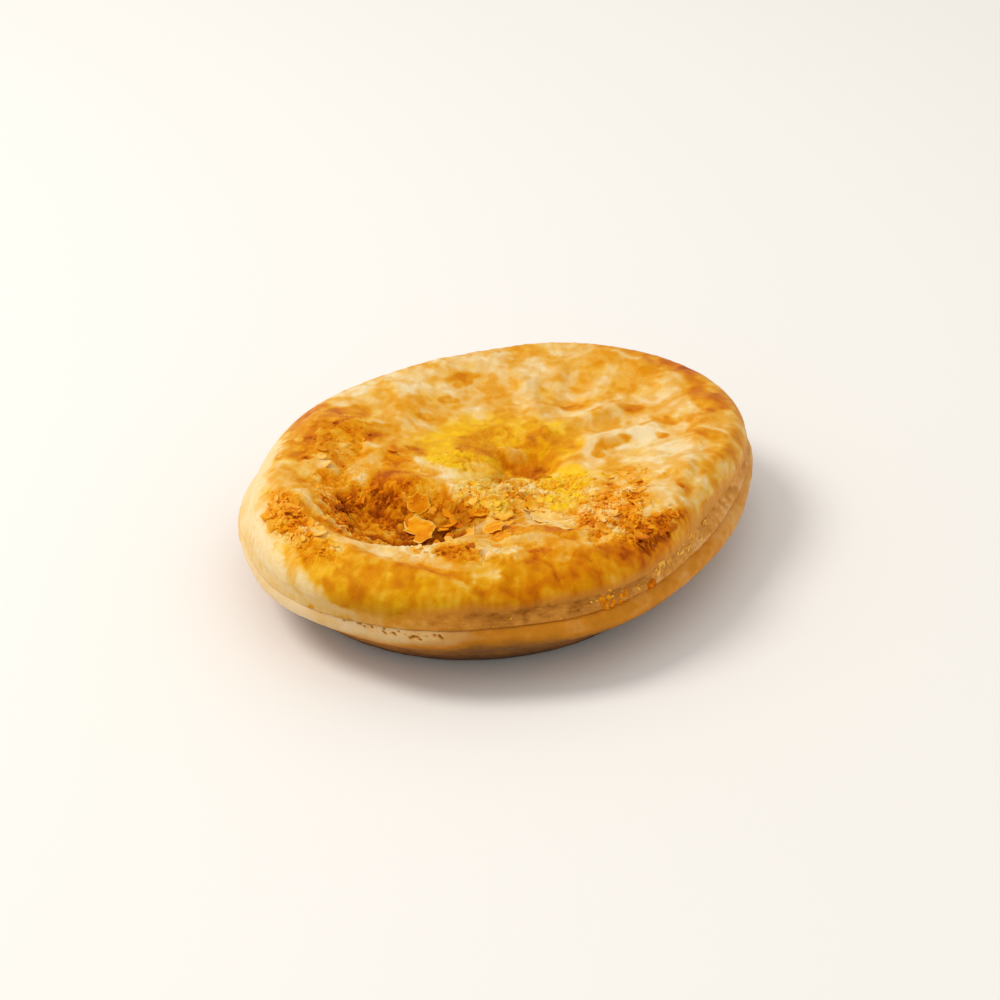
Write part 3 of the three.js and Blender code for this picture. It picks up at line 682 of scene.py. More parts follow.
def pressedRoll(angle):  # the rolled edge is pressed in and out round the pie
    waves, size, drift = 9, 0.35, 1.3
    return size * np.sin(waves * angle + drift * np.sin(2 * angle))


def upShoulder(angle, inward):  # mm from the lid's edge, up the shoulder and on inward, or down the side
    rise = swollen(*pieForm["shoulderRise"], angle) * shoulderShare(angle, inward)
    return rise + np.where(inward > 0, 0.6, 1) * inward


def bareness(angle, inward, x, y):  # 1 where the dough is bare and pale
    line, dough = atAngle(angle, paleLine), atAngle(angle, creamy)
    line = line + (0.3 + 1.1 * dough) * noise(x, y, 3.4, 64) + (0.25 + 0.7 * dough) * noise(x, y, 1.1, 65)
    soft = 0.45 + 1.3 * dough
    blotch = atAngle(angle, blotching) * smooth(0.05, 0.7, noise(x, y, 2.6, 74) + 0.5 * noise(x, y, 1.1, 75))
    return (1 - smooth(line - soft, line + soft, upShoulder(angle, inward))) * (1 - 0.7 * blotch)


# painted shade: the low front is darkened, fully below 17.5 mm and not at all above 22.5 mm
def paintedShadeAt(angle, z):
    fullBelow, noneAbove = 17.5, 22.5
    return atAngle(angle, paintedShadeKnots) * (1 - smooth(fullBelow, noneAbove, z))


lidCrustLook = {
    "rings": 165,
    "swell": (1.2, 3.4, 1.6),  # how far the shoulder swells out, from how far inward, and how steeply
    # height above the seam's foot, as a share, against the share of the way out
    "cutSide": [(0, 0.76), (0.1, 0.86), (0.25, 0.76), (0.45, 0.52), (0.65, 0.28), (0.85, 0.08), (1, 0)],
    "smoothSide": [(0, 1), (0.15, 1.03), (0.35, 0.92), (0.6, 0.62), (0.8, 0.3), (1, 0)],
    "foot": (14.12, 0.9, 1.06, 0.45),  # the foot's height at an inset, and its climb before and past it
    "tucks": [(0.3, 0.02), (1.9, None)],  # how far the foot turns in, and up, or else to the underside
    "underside": 14.86,
    "sideSteps": 13,
    "rollShare": 0.9,  # how much of the rolled edge's waves the skirt follows
    "strata": (0.55, 0.1),  # height of a layer and how deep it shows
    "streaks": [(0.08, 1.7, 5, 69), (0.05, 0.7, 3, 70)],  # strength, size along the edge and across, seed
    "streaksEnd": (3, 8),
    # mottles of the form, above the lid's edge and down the side, and then of the browning
    "tornEdge": [(0.16, 1.1, 82, 0.6)],
    "tornSide": [(0.1, 0.8, 82, 0.35), (0.22, 2.6, 83, 0.5)],
    "creamWaves": (0.14, 2.4, 84),
    "cutMottles": [(0.16, 1.6, 85, 1), (0.12, 0.8, 86, 3)],
    "creamMottles": [(0.05, 3, 87, 1)],
    "speckles": [(0.12, 2.8, 89, 1), (0.06, 1.2, 90, 1)],
    "footWaves": (0.1, 4, 88),
    "lipPalenessAndHighlight": 0.3,
    "topBake": (0.16, 0.06),  # of the cut side, above its browning, and of smooth dough
    "bareGlaze": (0.75, 0.85),  # how much less egg bare dough has, on top and on the side
    # how much less painted shade the cut layers take
    "shadeSparedOnCut": 0.8,
    "sideRough": 0.35,
}


def edgeStreaks(girth, inward):  # darker and paler runs down the shoulder
    return sum(strength * noise(girth / along, inward / across, 1, seed)
               for strength, along, across, seed in lidCrustLook["streaks"])


def strataAt(girth, z):  # the cut layers, in and out
    layer, depth = lidCrustLook["strata"]
    return depth * np.sin(2 * math.pi * z / layer + 2 * noise(girth, 0, 6, 81))


def blended(knots, up):
    return np.interp(up, *zip(*knots))


def makeLidCrust():
    look = lidCrustLook
    share, angle, triangles = discOfRings(look["rings"])
    edge = lidRadius(angle)
    radius = edge * share
    inward = edge - radius
    x, y, girth = radius * np.cos(angle), radius * np.sin(angle), angle * pieForm["rimRadius"]
    swells, reach, power = look["swell"]
    swell = swells * atAngle(angle, fullness) * np.maximum(0, 1 - inward / reach) ** power
    rise, masks = fineRelief(x, y)
    base, spread = lidTop(x, y), unrolled(x, y)
    bake = painted(x, y, browning, spread) + masks["tone"]
    # the lips are paler, partly their own colour and partly a painted highlight along the crest
    bake -= look["lipPalenessAndHighlight"] * masks["lip"] * smooth(0.25, 0.5, bake)
    bake += (1 - smooth(*look["streaksEnd"], inward)) * edgeStreaks(girth, inward)
    egg = painted(x, y, glaze, spread) * (1 + masks["eggTone"])
    bare, creamShare = bareness(angle, inward, x * spread, y * spread), atAngle(angle, creamy)
    cut = bare * (1 - creamShare)
    cutTop, creamTop = look["topBake"]
    cutTop = cutTop + atAngle(angle, cutBrowningAndShade)
    torn = cut * smooth(0, 0.3, inward)
    swell = swell + torn * mottled(strataAt(girth, base), girth, base, look["tornEdge"])
    parts = [(onPie(x + swell * np.cos(angle), y + swell * np.sin(angle), base + rise), {
        "bake": bake * (1 - bare) + (cutTop + (creamTop - cutTop) * creamShare) * bare,
        "egg": egg * (1 - look["bareGlaze"][0] * bare), "cut": cut, "rough": masks["rough"],
        "paintedShade": paintedShadeAt(angle, base) * (1 - look["shadeSparedOnCut"] * cut)})]

    # down the side, over the cut layers or the smooth dough, to the foot of the skirt
    count = 6 * look["rings"]
    rim, girth = roundTheRim(count)
    edge, x, y, edgeSpread = edge[-count:], x[-count:], y[-count:], spread[-count:]
    near = np.ones(21) / 21
    edgeBake, edgeEgg = (np.convolve(np.tile(v[-count:], 3), near, "same")[count:2 * count]
                         for v in (bake, egg))
    s, reach, full = (atAngle(rim, knots) for knots in (creamy, skirtInset, fullness))
    start = swells * full
    wayOut = widestRadius(rim) - reach - edge - start + look["rollShare"] * pressedRoll(rim)
    level, inset, nearer, further = look["foot"]
    waves, cell, seed = look["footWaves"]
    foot = (level + np.where(reach < inset, nearer, further) * (reach - inset)
            + waves * noise(girth, 0, cell, seed) + 0.1 * smooth(0.5, 0.9, reach))
    height = pieForm["lidEdge"] - foot
    waves, cell, seed = look["creamWaves"]
    for step in range(1, look["sideSteps"] + 1):
        up = 1 - step / look["sideSteps"]
        down = height * (1 - up)
        z = foot + height * up
        plain = wayOut * ((1 - full) * blended(look["cutSide"], up) + full * blended(look["smoothSide"], up))
        live = math.sin(math.pi * min(max(up, 0.04), 0.96)) ** 0.5
        out = plain + (1 - s) * live * mottled(strataAt(girth, z), girth, z, look["tornSide"])
        out = out + s * live * waves * noise(girth, z, cell, seed)
        sideX, sideY = (v * (edgeSpread + down / pieForm["rimRadius"]) for v in (x, y))
        bare = bareness(rim, -down, sideX, sideY)
        cut = bare * (1 - s)
        # painted shade: the cut layers darker towards the top, under the overhanging shoulder
        cutBakeAndShade = mottled(atAngle(rim, cutBrowningAndShade) + 0.22 * up, girth, z, look["cutMottles"])
        # painted shade: the smooth dough darker towards the foot
        creamBakeAndShade = mottled(0.08 + 0.08 * (1 - up), girth, z, look["creamMottles"])
        speckled = mottled(edgeBake + edgeStreaks(girth, -down), sideX, sideY, look["speckles"])
        parts.append((ringAt(rim, edge + start + out, z), {
            "bake": speckled * (1 - bare) + bare * (s * creamBakeAndShade + (1 - s) * cutBakeAndShade),
            "egg": edgeEgg * (1 - look["bareGlaze"][1] * bare), "cut": cut,
            "rough": look["sideRough"] * (1 - s), "paintedShade": paintedShadeAt(rim, z) * (1 - look["shadeSparedOnCut"] * cut)}))
    for inwards, upwards in look["tucks"]:
        z = look["underside"] if upwards is None else foot + upwards
        parts.append((ringAt(rim, edge + start + plain - inwards, z),
                      {"bake": 0.55, "egg": 0, "cut": 1, "rough": 0, "paintedShade": 1}))
    rings = [len(angle) + count * (k - 1) for k in range(len(parts))]
    triangles += wall(rings, count)
    triangles.append(fan(rings[-1] + count, rings[-1], count)[:, [0, 2, 1]])
    parts.append((onPie([0], [0], [look["underside"]]), dict.fromkeys(parts[0][1], 0)))
    return joinedPiece("lidCrust", parts, triangles)


lidCrust = makeLidCrust()
print("lid crust:", len(lidCrust.data.polygons), "triangles")

caseBrowning = [
    (-180, 0.14), (-170, 0.18), (-158, 0.34), (-148, 0.65), (-138, 0.95), (-110, 1), (-85, 0.9),
    (-20, 0.7), (60, 0.6), (120, 0.5), (165, 0.1), (180, 0.14),
]
# Height at which the wall turns brown below the roll: its own browning, and painted shade under the roll.
wallBrowningAndShade = [
    (-180, 9.8), (-168, 11), (-155, 12), (-135, 12.2), (-115, 11.4), (-90, 10.4), (-40, 9.8),
    (180, 9.8),
]
caseCrustLook = {
    "segments": 720,
    # inset from the widest line, and height
    "profile": [(2.4, 14.7), (1.1, 14.2), (0.25, 13.3), (0, 12.2), (0.3, 11.1), (1.2, 10.2), (3, 9.1),
                (5, 7.3), (7.4, 4.9), (9.8, 2.5), (11.8, 0.8), (13.4, 0)],
    "steps": 5,  # between two of those
    "dimples": (2.6, 0.1, 91),
    "grain": (0.8, 0.04, 92),
    "mottles": [(0.05, 5, 94, 1), (0.04, 1.7, 95, 2)],
    "rolledAbove": 9,
    # the case takes its painted shade as if it were no higher than this
    "shadeHeightCap": 16.5,
    "topBake": 0.3,
    "bottomBake": 0.8,
}
# Small pits below the seam, in two groups: first and last angle, and the heights that they lie between.
seamPits = {"groups": [(-180, -164, 14.2, 13.7), (-163, -150, 14.1, 13.3)], "each": 26,
            # painted shade: each pit is painted darker inside
            "radius": (0.06, 0.19), "long": 2, "depth": 0.4, "browningAndShade": 0.55, "seed": 93}


def curveThrough(values, steps):
    values = np.array(values, float)
    at = np.linspace(0, len(values) - 1, steps * (len(values) - 1) + 1)
    slope = np.gradient(values)
    k = np.minimum(at.astype(int), len(values) - 2)
    t = at - k
    return ((2 * t**3 - 3 * t**2 + 1) * values[k] + (t**3 - 2 * t**2 + t) * slope[k]
            + (3 * t**2 - 2 * t**3) * values[k + 1] + (t**3 - t**2) * slope[k + 1])


def seamPitsAt(rim, z):
    look, seed = seamPits, seamPits["seed"]
    pit = np.zeros(len(rim))
    for item in range(look["each"] * len(look["groups"])):
        first, last, upper, lower = look["groups"][item // look["each"]]
        where = math.radians(drawBetween((first, last), item, 1, seed))
        height = drawBetween((upper, lower), item, 2, seed)
        radius = drawBetween(look["radius"], item, 3, seed)
        across = np.angle(np.exp(1j * (rim - where))) * pieForm["rimRadius"]
        away = np.hypot(across / (look["long"] * radius), (z - height) / radius)
        pit = np.maximum(pit, 1 - smooth(0.4, 1.1, away))
    return pit


def makeCaseCrust():
    look = caseCrustLook
    count = look["segments"]
    rim, girth = roundTheRim(count)
    insets, heights = (curveThrough(values, look["steps"]) for values in zip(*look["profile"]))
    heights = np.clip(heights, 0, heights[0])
    parts = []
    for step, (inset, z) in enumerate(zip(insets, heights)):
        rolled = 1 - smooth(1, 3, inset) if z > look["rolledAbove"] else 0
        live = smooth(0, 0.8, z) * smooth(0, 1, step)
        radius = widestRadius(rim) - inset + rolled * pressedRoll(rim)
        for cell, depth, seed in (look["dimples"], look["grain"]):
            radius = radius + live * depth * noise(girth, z * 1.3, cell, seed)
        pit = seamPitsAt(rim, z)
        radius = radius - seamPits["depth"] * pit * live
        # pale on the left, amber towards the right, brown on the wall below the roll, partly browning and
        # partly painted shade
        shadedTo = atAngle(rim, wallBrowningAndShade) + 0.3 * noise(girth, 0, 7, 96)
        below = 1 - smooth(shadedTo - 1.6, shadedTo + 1.4, z)
        right = atAngle(rim, caseBrowning)
        here = 0.1 + 0.4 * right + (0.52 - 0.25 * right) * below
        here = mottled(here, girth, z, look["mottles"])
        parts.append((ringAt(rim, radius, z), {
            "bake": here + seamPits["browningAndShade"] * pit, "shade": 1 - smooth(1, 6, z),
            "paintedShade": paintedShadeAt(rim, min(z, look["shadeHeightCap"]))}))
    top, bottom = count * len(parts), count * len(parts) + 1
    rings = list(range(0, top, count))
    triangles = [*wall(rings, count), fan(top, 0, count), fan(bottom, rings[-1], count)[:, [0, 2, 1]]]
    parts.append((onPie([0], [0], [heights[0]]), {"bake": look["topBake"], "shade": 0, "paintedShade": 0}))
    parts.append((onPie([0], [0], [0]), {"bake": look["bottomBake"], "shade": 1, "paintedShade": 0}))
    return joinedPiece("caseCrust", parts, triangles)


caseCrust = makeCaseCrust()
print("case crust:", len(caseCrust.data.polygons), "triangles")


# Materials and node trees.
def tint(red, green, blue):
    return tuple((c / 12.92 if c <= 0.04045 else ((c + 0.055) / 1.055) ** 2.4)
                 for c in (red / 255, green / 255, blue / 255)) + (1.0,)


def addNode(tree, kind, settings=None, values=None):
    made = tree.nodes.new(kind)
    for label, value in (settings or {}).items():
        setattr(made, label, value)
    for socket, value in (values or {}).items():
        feed(tree, made.inputs[socket], value)
    return made


def feed(tree, socket, value):
    value = value.socket if isinstance(value, Wire) else value
    if isinstance(value, bpy.types.NodeSocket):
        tree.links.new(value, socket)
    else:
        socket.default_value = value


class Wire:  # an output socket: sums on it add the Math nodes that work them out
    def __init__(self, board, socket):
        self.board, self.socket = board, socket

    def maths(self, operation, other, clamp=False):
        settings = {"operation": operation, "use_clamp": clamp}
        return self.board.node("ShaderNodeMath", settings, {0: self, 1: other})

    def __add__(self, other):
        return self.maths("ADD", other)

    def __mul__(self, other):
        return self.maths("MULTIPLY", other)

    def __sub__(self, other):
        return self.maths("SUBTRACT", other)

    def held(self):  # kept from 0 to 1
        return self.maths("ADD", 0.0, clamp=True)


class Board:  # one material's nodes
    def __init__(self, name):
        self.material = bpy.data.materials.new(name)
        self.material.use_nodes = True
        self.tree = self.material.node_tree

    def node(self, kind, settings=None, values=None, output=0):
        return Wire(self, addNode(self.tree, kind, settings, values).outputs[output])

    def attribute(self, name):
        return self.node("ShaderNodeAttribute", {"attribute_name": name}, output="Fac")

    def place(self):
        return self.node("ShaderNodeTexCoord", output="Object")

    def cloud(self, size, detail, rough, where):  # noise about 0, its bumps this many mm wide
        values = {"Vector": where, "Scale": 1 / (size * mm), "Detail": detail, "Roughness": rough}
        return self.node("ShaderNodeTexNoise", None, values, "Fac") - 0.5

    def ramp(self, factor, stops):
        made = self.node("ShaderNodeValToRGB", None, {"Fac": factor}, "Color")
        elements = made.socket.node.color_ramp.elements
        while len(elements) < len(stops):
            elements.new(1)
        for element, (position, *colour) in zip(elements, stops):
            element.position, element.color = position, tint(*colour)
        return made

    def mixed(self, factor, a, b, blend="MIX"):
        settings = {"data_type": "RGBA", "blend_type": blend}
        return self.node("ShaderNodeMix", settings, {0: factor, 6: a, 7: b}, 2)

    def bump(self, height, distance):
        return self.node("ShaderNodeBump", None, {"Distance": distance * mm, "Height": height}, "Normal")

    def finish(self, look, **fed):
        for label, value in (*look.items(), *fed.items()):
            feed(self.tree, self.tree.nodes["Principled BSDF"].inputs[label.replace("_", " ")], value)
        return self.material


# The ramps' stops are how browned it is, and the colour's red, green and blue.
puffLook = {
    "crust": [(0, 247, 226, 180), (0.18, 240, 200, 128), (0.36, 235, 173, 64), (0.52, 229, 151, 10),
              (0.68, 218, 129, 2), (0.82, 205, 106, 1), (1, 160, 68, 1)],
    "egg": [(0, 253, 207, 14), (0.28, 248, 194, 2), (0.58, 220, 144, 1), (1, 180, 92, 1)],
    "crumbly": [(0, 255, 234, 178), (0.18, 252, 212, 132), (0.36, 250, 190, 76), (0.52, 248, 168, 22),
                (0.68, 234, 140, 5), (0.82, 214, 112, 3), (1, 160, 70, 2)],
    "crumblyEgg": [(0, 255, 213, 14), (0.28, 253, 196, 4), (0.58, 236, 154, 2), (1, 196, 104, 1)],
    "cutLayers": [(0, 246, 212, 158), (0.45, 226, 154, 64), (1, 150, 84, 18)],
    # the tint that painted shade multiplies in
    "shadeTint": (0.66, 0.62, 0.6, 1),
    "mottle": (0.28, 0.22),  # how strongly noise browns it, on the lid and on loose bits
    "grain": (0.3, 0.1),  # the same for the finest noise, more where crumbly, and everywhere
    "bump": (0.35, 0.25),  # mm, on the lid and on loose bits
    "roughness": (0.52, 0.2, 0.08),  # usual, more where crumbly, less where glazed
    "shader": {"Roughness": 0.5, "Specular IOR Level": 0.18, "Specular Tint": (1, 0.72, 0.2, 1),
               "Subsurface Weight": 0.1, "Subsurface Radius": (1, 0.6, 0.3), "Subsurface Scale": 0.0012},
}


def puffPastry(name, look, scattered=False):
    board = Board(name)
    bake, egg = board.attribute("bake"), board.attribute("egg")
    where = board.place()
    fine, finer = board.cloud(1.1, 4, 0.65, where), board.cloud(0.35, 3, 0.6, where)
    mottle, depth = look["mottle"][scattered], look["bump"][scattered]
    if scattered:
        level = (bake * (board.attribute("tone") * 0.5 + 0.75) + fine * mottle).held()
        colour = board.mixed((egg * 1.2 + fine * 0.4).held(), board.ramp(level, look["crumbly"]),
                             board.ramp(level, look["crumblyEgg"]))
        return board.finish({**look["shader"], "Subsurface Weight": 0.0}, Base_Color=colour,
                            Normal=board.bump(fine * 0.6 + finer * 0.4, depth))
    rough, cut = board.attribute("rough"), board.attribute("cut")
    crumblyGrain, grain = look["grain"]
    level = (bake + fine * mottle + finer * (rough * crumblyGrain + grain)).held()
    eggy = (egg + fine * 0.5 * egg + finer * 0.3 * egg).held()
    plain, crumbly = (board.mixed(eggy, board.ramp(level, look[bare]), board.ramp(level, look[glazed]))
                      for bare, glazed in (("crust", "egg"), ("crumbly", "crumblyEgg")))
    colour = board.mixed(rough, plain, crumbly)
    colour = board.mixed(cut, colour, board.ramp(level, look["cutLayers"]))
    # painted shade: the low front darkened by a tint
    colour = board.mixed(board.attribute("paintedShade"), colour, look["shadeTint"], "MULTIPLY")
    height = fine * (rough * 0.5 + 0.35) + finer * (rough * 0.5 + 0.25)
    usual, rougher, glossier = look["roughness"]
    return board.finish(look["shader"], Base_Color=colour, Normal=board.bump(height, depth),
                        Roughness=(rough * rougher + usual - egg * glossier).held())


shortLook = {
    "crust": [(0, 246, 230, 196), (0.25, 236, 194, 122), (0.5, 212, 134, 26), (0.75, 140, 88, 28),
              (1, 78, 44, 8)],
    # the tint that painted shade multiplies in
    "shadeTint": (0.74, 0.72, 0.76, 1),
    "mottles": (0.12, 0.12, 0.06),  # how strongly each size of noise browns it
    "shaded": 0.25,
    "bump": 0.2,
    "shader": {"Specular IOR Level": 0.2, "Specular Tint": (1, 0.8, 0.4, 1), "Subsurface Weight": 0.12,
               "Subsurface Radius": (1, 0.5, 0.2), "Subsurface Scale": 0.0012},
}


def shortPastry(name, look):
    board = Board(name)
    where = board.place()
    broad, fine, finer = (board.cloud(size, 4, 0.6, where) for size in (5, 1.3, 0.35))
    bake, shade, paintedShade = (board.attribute(label) for label in ("bake", "shade", "paintedShade"))
    broadest, middling, finest = look["mottles"]
    level = (bake + broad * broadest + fine * middling + finer * finest + shade * look["shaded"]).held()
    # painted shade: the low front darkened by a tint
    colour = board.mixed(paintedShade, board.ramp(level, look["crust"]), look["shadeTint"], "MULTIPLY")
    return board.finish(look["shader"], Base_Color=colour, Roughness=(fine * 0.2 + 0.6).held(),
                        Normal=board.bump(fine * 0.5 + finer * 0.5, look["bump"]))


puffCrust = puffPastry("puffCrust", puffLook)
puffFlakes = puffPastry("puffFlakes", puffLook, scattered=True)
shortCrust = shortPastry("shortCrust", shortLook)
lidCrust.data.materials.append(puffCrust)
caseCrust.data.materials.append(shortCrust)
print("materials made")


# Thin shells for flakes: an outline that can be seen whole from its middle, curled, and as thick as it says.
def leaf(outline, bend, thickness, rings=2):
    n = len(outline)
    flat = np.concatenate([np.zeros((1, 2))] + [outline * (k / rings) for k in range(1, rings + 1)])
    top = np.column_stack([flat, bend(flat[:, 0], flat[:, 1])])
    starts = [1 + k * n for k in range(rings)]
    upper = np.concatenate([fan(0, 1, n), *wall(starts, n)])
    side = wall([starts[-1], starts[-1] + len(flat)], n)
    triangles = np.concatenate([upper, upper[:, ::-1] + len(flat), *side])
    return np.concatenate([top, top - [0, 0, thickness]]), triangles


def rotated(points, aboutX, aboutY, aboutZ):  # turned about X, then Y, then Z, as on the solid
    cx, sx, cy, sy, cz, sz = (f(a) for a in (aboutX, aboutY, aboutZ) for f in (math.cos, math.sin))
    rx = np.array([(1, 0, 0), (0, cx, -sx), (0, sx, cx)])
    ry = np.array([(cy, 0, sy), (0, 1, 0), (-sy, 0, cy)])
    rz = np.array([(cz, -sz, 0), (sz, cz, 0), (0, 0, 1)])
    return points @ (rz @ rx @ ry).T


def raggedOutline(corners, item, seed, narrow=0.75):
    angle = 2 * math.pi * np.arange(corners) / corners
    radius = np.array([drawBetween((0.7, 1.15), item, 21 + corner, seed) for corner in range(corners)])
    return np.column_stack([radius * np.cos(angle), narrow * radius * np.sin(angle)]) / 2


def curl(amount, item, seed):  # a bend across the flake, with a twist and a dent
    a, b = drawBetween((0.3, 1.0), item, 50, seed) * amount, drawBetween((-0.5, 0.5), item, 51, seed) * amount
    return lambda x, y: a * x * x + b * x * y + 0.12 * amount * noise(x, y, 0.45, seed + item)


def shapeLibrary(name, count, maker):  # loose base shapes, one mm long, for scattering
    library = bpy.data.collections.new(name)
    for item in range(count):
        points, triangles = maker(item)
        shape = meshPiece(f"{name}{item}", points, triangles)
        bpy.context.scene.collection.objects.unlink(shape)
        shape.data.polygons.foreach_set("use_smooth", np.zeros(len(shape.data.polygons), bool))
        library.objects.link(shape)
    return library


def crumbShape(item):  # a dented lump
    gold = (1 + 5**0.5) / 2
    four = np.array([(-1, gold, 0), (1, gold, 0), (-1, -gold, 0), (1, -gold, 0)])
    points = np.concatenate([np.roll(four, axis, axis=1) for axis in range(3)])
    faces = [(0, 11, 5), (0, 5, 1), (0, 1, 7), (0, 7, 10), (0, 10, 11), (1, 5, 9), (5, 11, 4), (11, 10, 2),
             (10, 7, 6), (7, 1, 8), (3, 9, 4), (3, 4, 2), (3, 2, 6), (3, 6, 8), (3, 8, 9), (4, 9, 5),
             (2, 4, 11), (6, 2, 10), (8, 6, 7), (9, 8, 1)]
    swell = 0.65 + 0.7 * draw(np.arange(12.0), item, 33)
    return points / 3.8 * swell[:, None] * [1.1, 0.85, 0.6], faces


flakeShapes = shapeLibrary("flakeShape", 9, lambda item: leaf(
    raggedOutline(9 + item % 3, item, 6, 0.55 + 0.05 * (item % 5)), curl(0.55, item, 6), 0.10))
shredShapes = shapeLibrary("shredShape", 6, lambda item: leaf(
    raggedOutline(8, item, 8, 0.34 + 0.05 * (item % 4)), curl(0.9, item, 8), 0.09))
crumbShapes = shapeLibrary("crumbShape", 6, crumbShape)


# Scattering with Geometry Nodes.
def scatterTree(name, shapes, material):
    tree = bpy.data.node_groups.new(name, "GeometryNodeTree")
    for label, kind in (("Crust", "Geometry"), ("Spread by", "String"), ("Per square metre", "Float"),
                        ("Smallest", "Float"), ("Largest", "Float"), ("Tilt", "Float"), ("Lift", "Float"),
                        ("Seed", "Int")):
        tree.interface.new_socket(label, in_out="INPUT", socket_type="NodeSocket" + kind)
    tree.interface.new_socket("Flakes", in_out="OUTPUT", socket_type="NodeSocketGeometry")

    def add(kind, settings=None, values=None, output=0):
        return addNode(tree, kind, settings, values).outputs[output]

    def maths(operation, a, b):
        return add("ShaderNodeMath", {"operation": operation}, {0: a, 1: b})

    def chance(seed, low, high, whole=False):  # the sockets for whole numbers follow those for others
        values = {2 + 2 * whole: low, 3 + 2 * whole: high, "Seed": maths("ADD", given["Seed"], float(seed))}
        return add("FunctionNodeRandomValue", {"data_type": "INT" if whole else "FLOAT"}, values, 1 + whole)

    given = addNode(tree, "NodeGroupInput").outputs
    spread = add("GeometryNodeInputNamedAttribute", {"data_type": "FLOAT"}, {"Name": given["Spread by"]})
    points = addNode(tree, "GeometryNodeDistributePointsOnFaces", {"distribute_method": "RANDOM"}, {
        "Mesh": given["Crust"], "Density": maths("MULTIPLY", spread, given["Per square metre"]),
        "Seed": given["Seed"]}).outputs
    back, forth, rotation = maths("MULTIPLY", given["Tilt"], -1.0), given["Tilt"], points["Rotation"]
    for turns in ({0: chance(1, back, forth), 1: chance(2, back, forth)}, {2: chance(3, 0.0, 2 * math.pi)}):
        turn = add("FunctionNodeEulerToRotation", None, {0: add("ShaderNodeCombineXYZ", None, turns)})
        rotation = add("FunctionNodeRotateRotation", {"rotation_space": "LOCAL"}, {0: rotation, 1: turn})
    toned = add("GeometryNodeStoreNamedAttribute", {"data_type": "FLOAT", "domain": "POINT"},
                {"Geometry": points["Points"], "Name": "tone", "Value": chance(4, 0.0, 1.0)})
    picked = add("GeometryNodeCollectionInfo", None,
                 {"Collection": shapes, "Separate Children": True, "Reset Children": True})
    placed = add("GeometryNodeInstanceOnPoints", None, {
        "Points": toned, "Instance": picked, "Pick Instance": True, "Rotation": rotation,
        "Instance Index": chance(5, 0, len(shapes.objects) - 1, whole=True),
        "Scale": chance(6, given["Smallest"], given["Largest"])})
    raised = add("GeometryNodeTranslateInstances", None,
                 {"Instances": placed, "Translation": add("ShaderNodeCombineXYZ", None, {2: given["Lift"]})})
    plain = add("GeometryNodeRealizeInstances", None, {"Geometry": raised})
    dressed = add("GeometryNodeSetMaterial", None, {"Geometry": plain, "Material": material})
    addNode(tree, "NodeGroupOutput", None, {0: dressed})
    return tree


def scatter(name, host, shapes, material, sizes):
    piece = bpy.data.objects.new(name, host.data.copy())
    bpy.context.scene.collection.objects.link(piece)
    modifier = piece.modifiers.new("scatter", "NODES")
    modifier.node_group = scatterTree(name + "Tree", shapes, material)
    for item in modifier.node_group.interface.items_tree:
        if item.in_out == "INPUT" and item.name in sizes:
            modifier[item.identifier] = sizes[item.name]
    piece.update_tag()
    depsgraph = bpy.context.evaluated_depsgraph_get()
    mesh = bpy.data.meshes.new_from_object(piece.evaluated_get(depsgraph), preserve_all_data_layers=True,
                                           depsgraph=depsgraph)
    piece.modifiers.clear()
    piece.data = mesh
    mesh.name = name
    print(name + ":", len(mesh.polygons), "faces")
    return piece


# Where each kind lies: x, y, half length, half width, turn, how thick.
scatterPlaces = {
    "flakesHere": [
        (-32, 2, 15, 8, -56, 0.7), (-5, -33, 13, 7, 35, 1), (-14, -11, 10, 7, -45, 0.4),
        (-51.5, 10, 10, 3.4, 64, 0.3), (-1, -18, 8, 5, -45, 0.25), (-39, -19, 8, 2.2, -57, 0.3),
        (8, -26, 6, 6, 0, 0.15),
    ],
    "shredsHere": [
        (-51.5, 11, 12, 4, 64, 0.9), (-54.5, -1, 5, 2.2, -75, 0.5), (-4, -43, 9, 2.2, 4, 1),
        (-32, 6, 12, 8, -56, 0.35), (-21, -8, 6, 4, -40, 0.3),
    ],
    "crumbsHere": [
        (-32, 3, 16, 10, -56, 0.8), (-5, -33, 13, 8, 35, 0.9), (-51.5, 11, 12, 4.2, 64, 0.7),
        (-24, 26, 13, 7, 15, 0.15), (-13, -9, 10, 8, -45, 0.3), (0, -14, 9, 8, -45, 0.35),
        (10, -26, 7, 8, 0, 0.1),
    ],
}
hostX, hostY, hostZ = (np.array([v.co[axis] for v in lidCrust.data.vertices]) / mm for axis in (0, 1, 2))
for label, places in scatterPlaces.items():
    thick = thickest(hostX, hostY, places, 0.55, 1.1) * (hostZ > pieForm["lidEdge"] + 0.8)
    lidCrust.data.attributes.new(label, "FLOAT", "POINT").data.foreach_set("value", thick.astype(np.float32))

looseBits = {
    "brokenFlakes": (flakeShapes, {"Spread by": "flakesHere", "Per square metre": 0.7e6, "Smallest": 0.8,
                                   "Largest": 2.6, "Tilt": 0.4, "Lift": 0.00002, "Seed": 21}),
    "shreds": (shredShapes, {"Spread by": "shredsHere", "Per square metre": 0.6e6, "Smallest": 1.0,
                             "Largest": 2.6, "Tilt": 0.45, "Lift": 0.00002, "Seed": 22}),
    "crumbs": (crumbShapes, {"Spread by": "crumbsHere", "Per square metre": 1.5e6, "Smallest": 0.4,
                             "Largest": 1.1, "Tilt": 1.5, "Lift": 0.00005, "Seed": 23}),
}
loosePieces = [scatter(name, lidCrust, shapes, puffFlakes, sizes)
               for name, (shapes, sizes) in looseBits.items()]


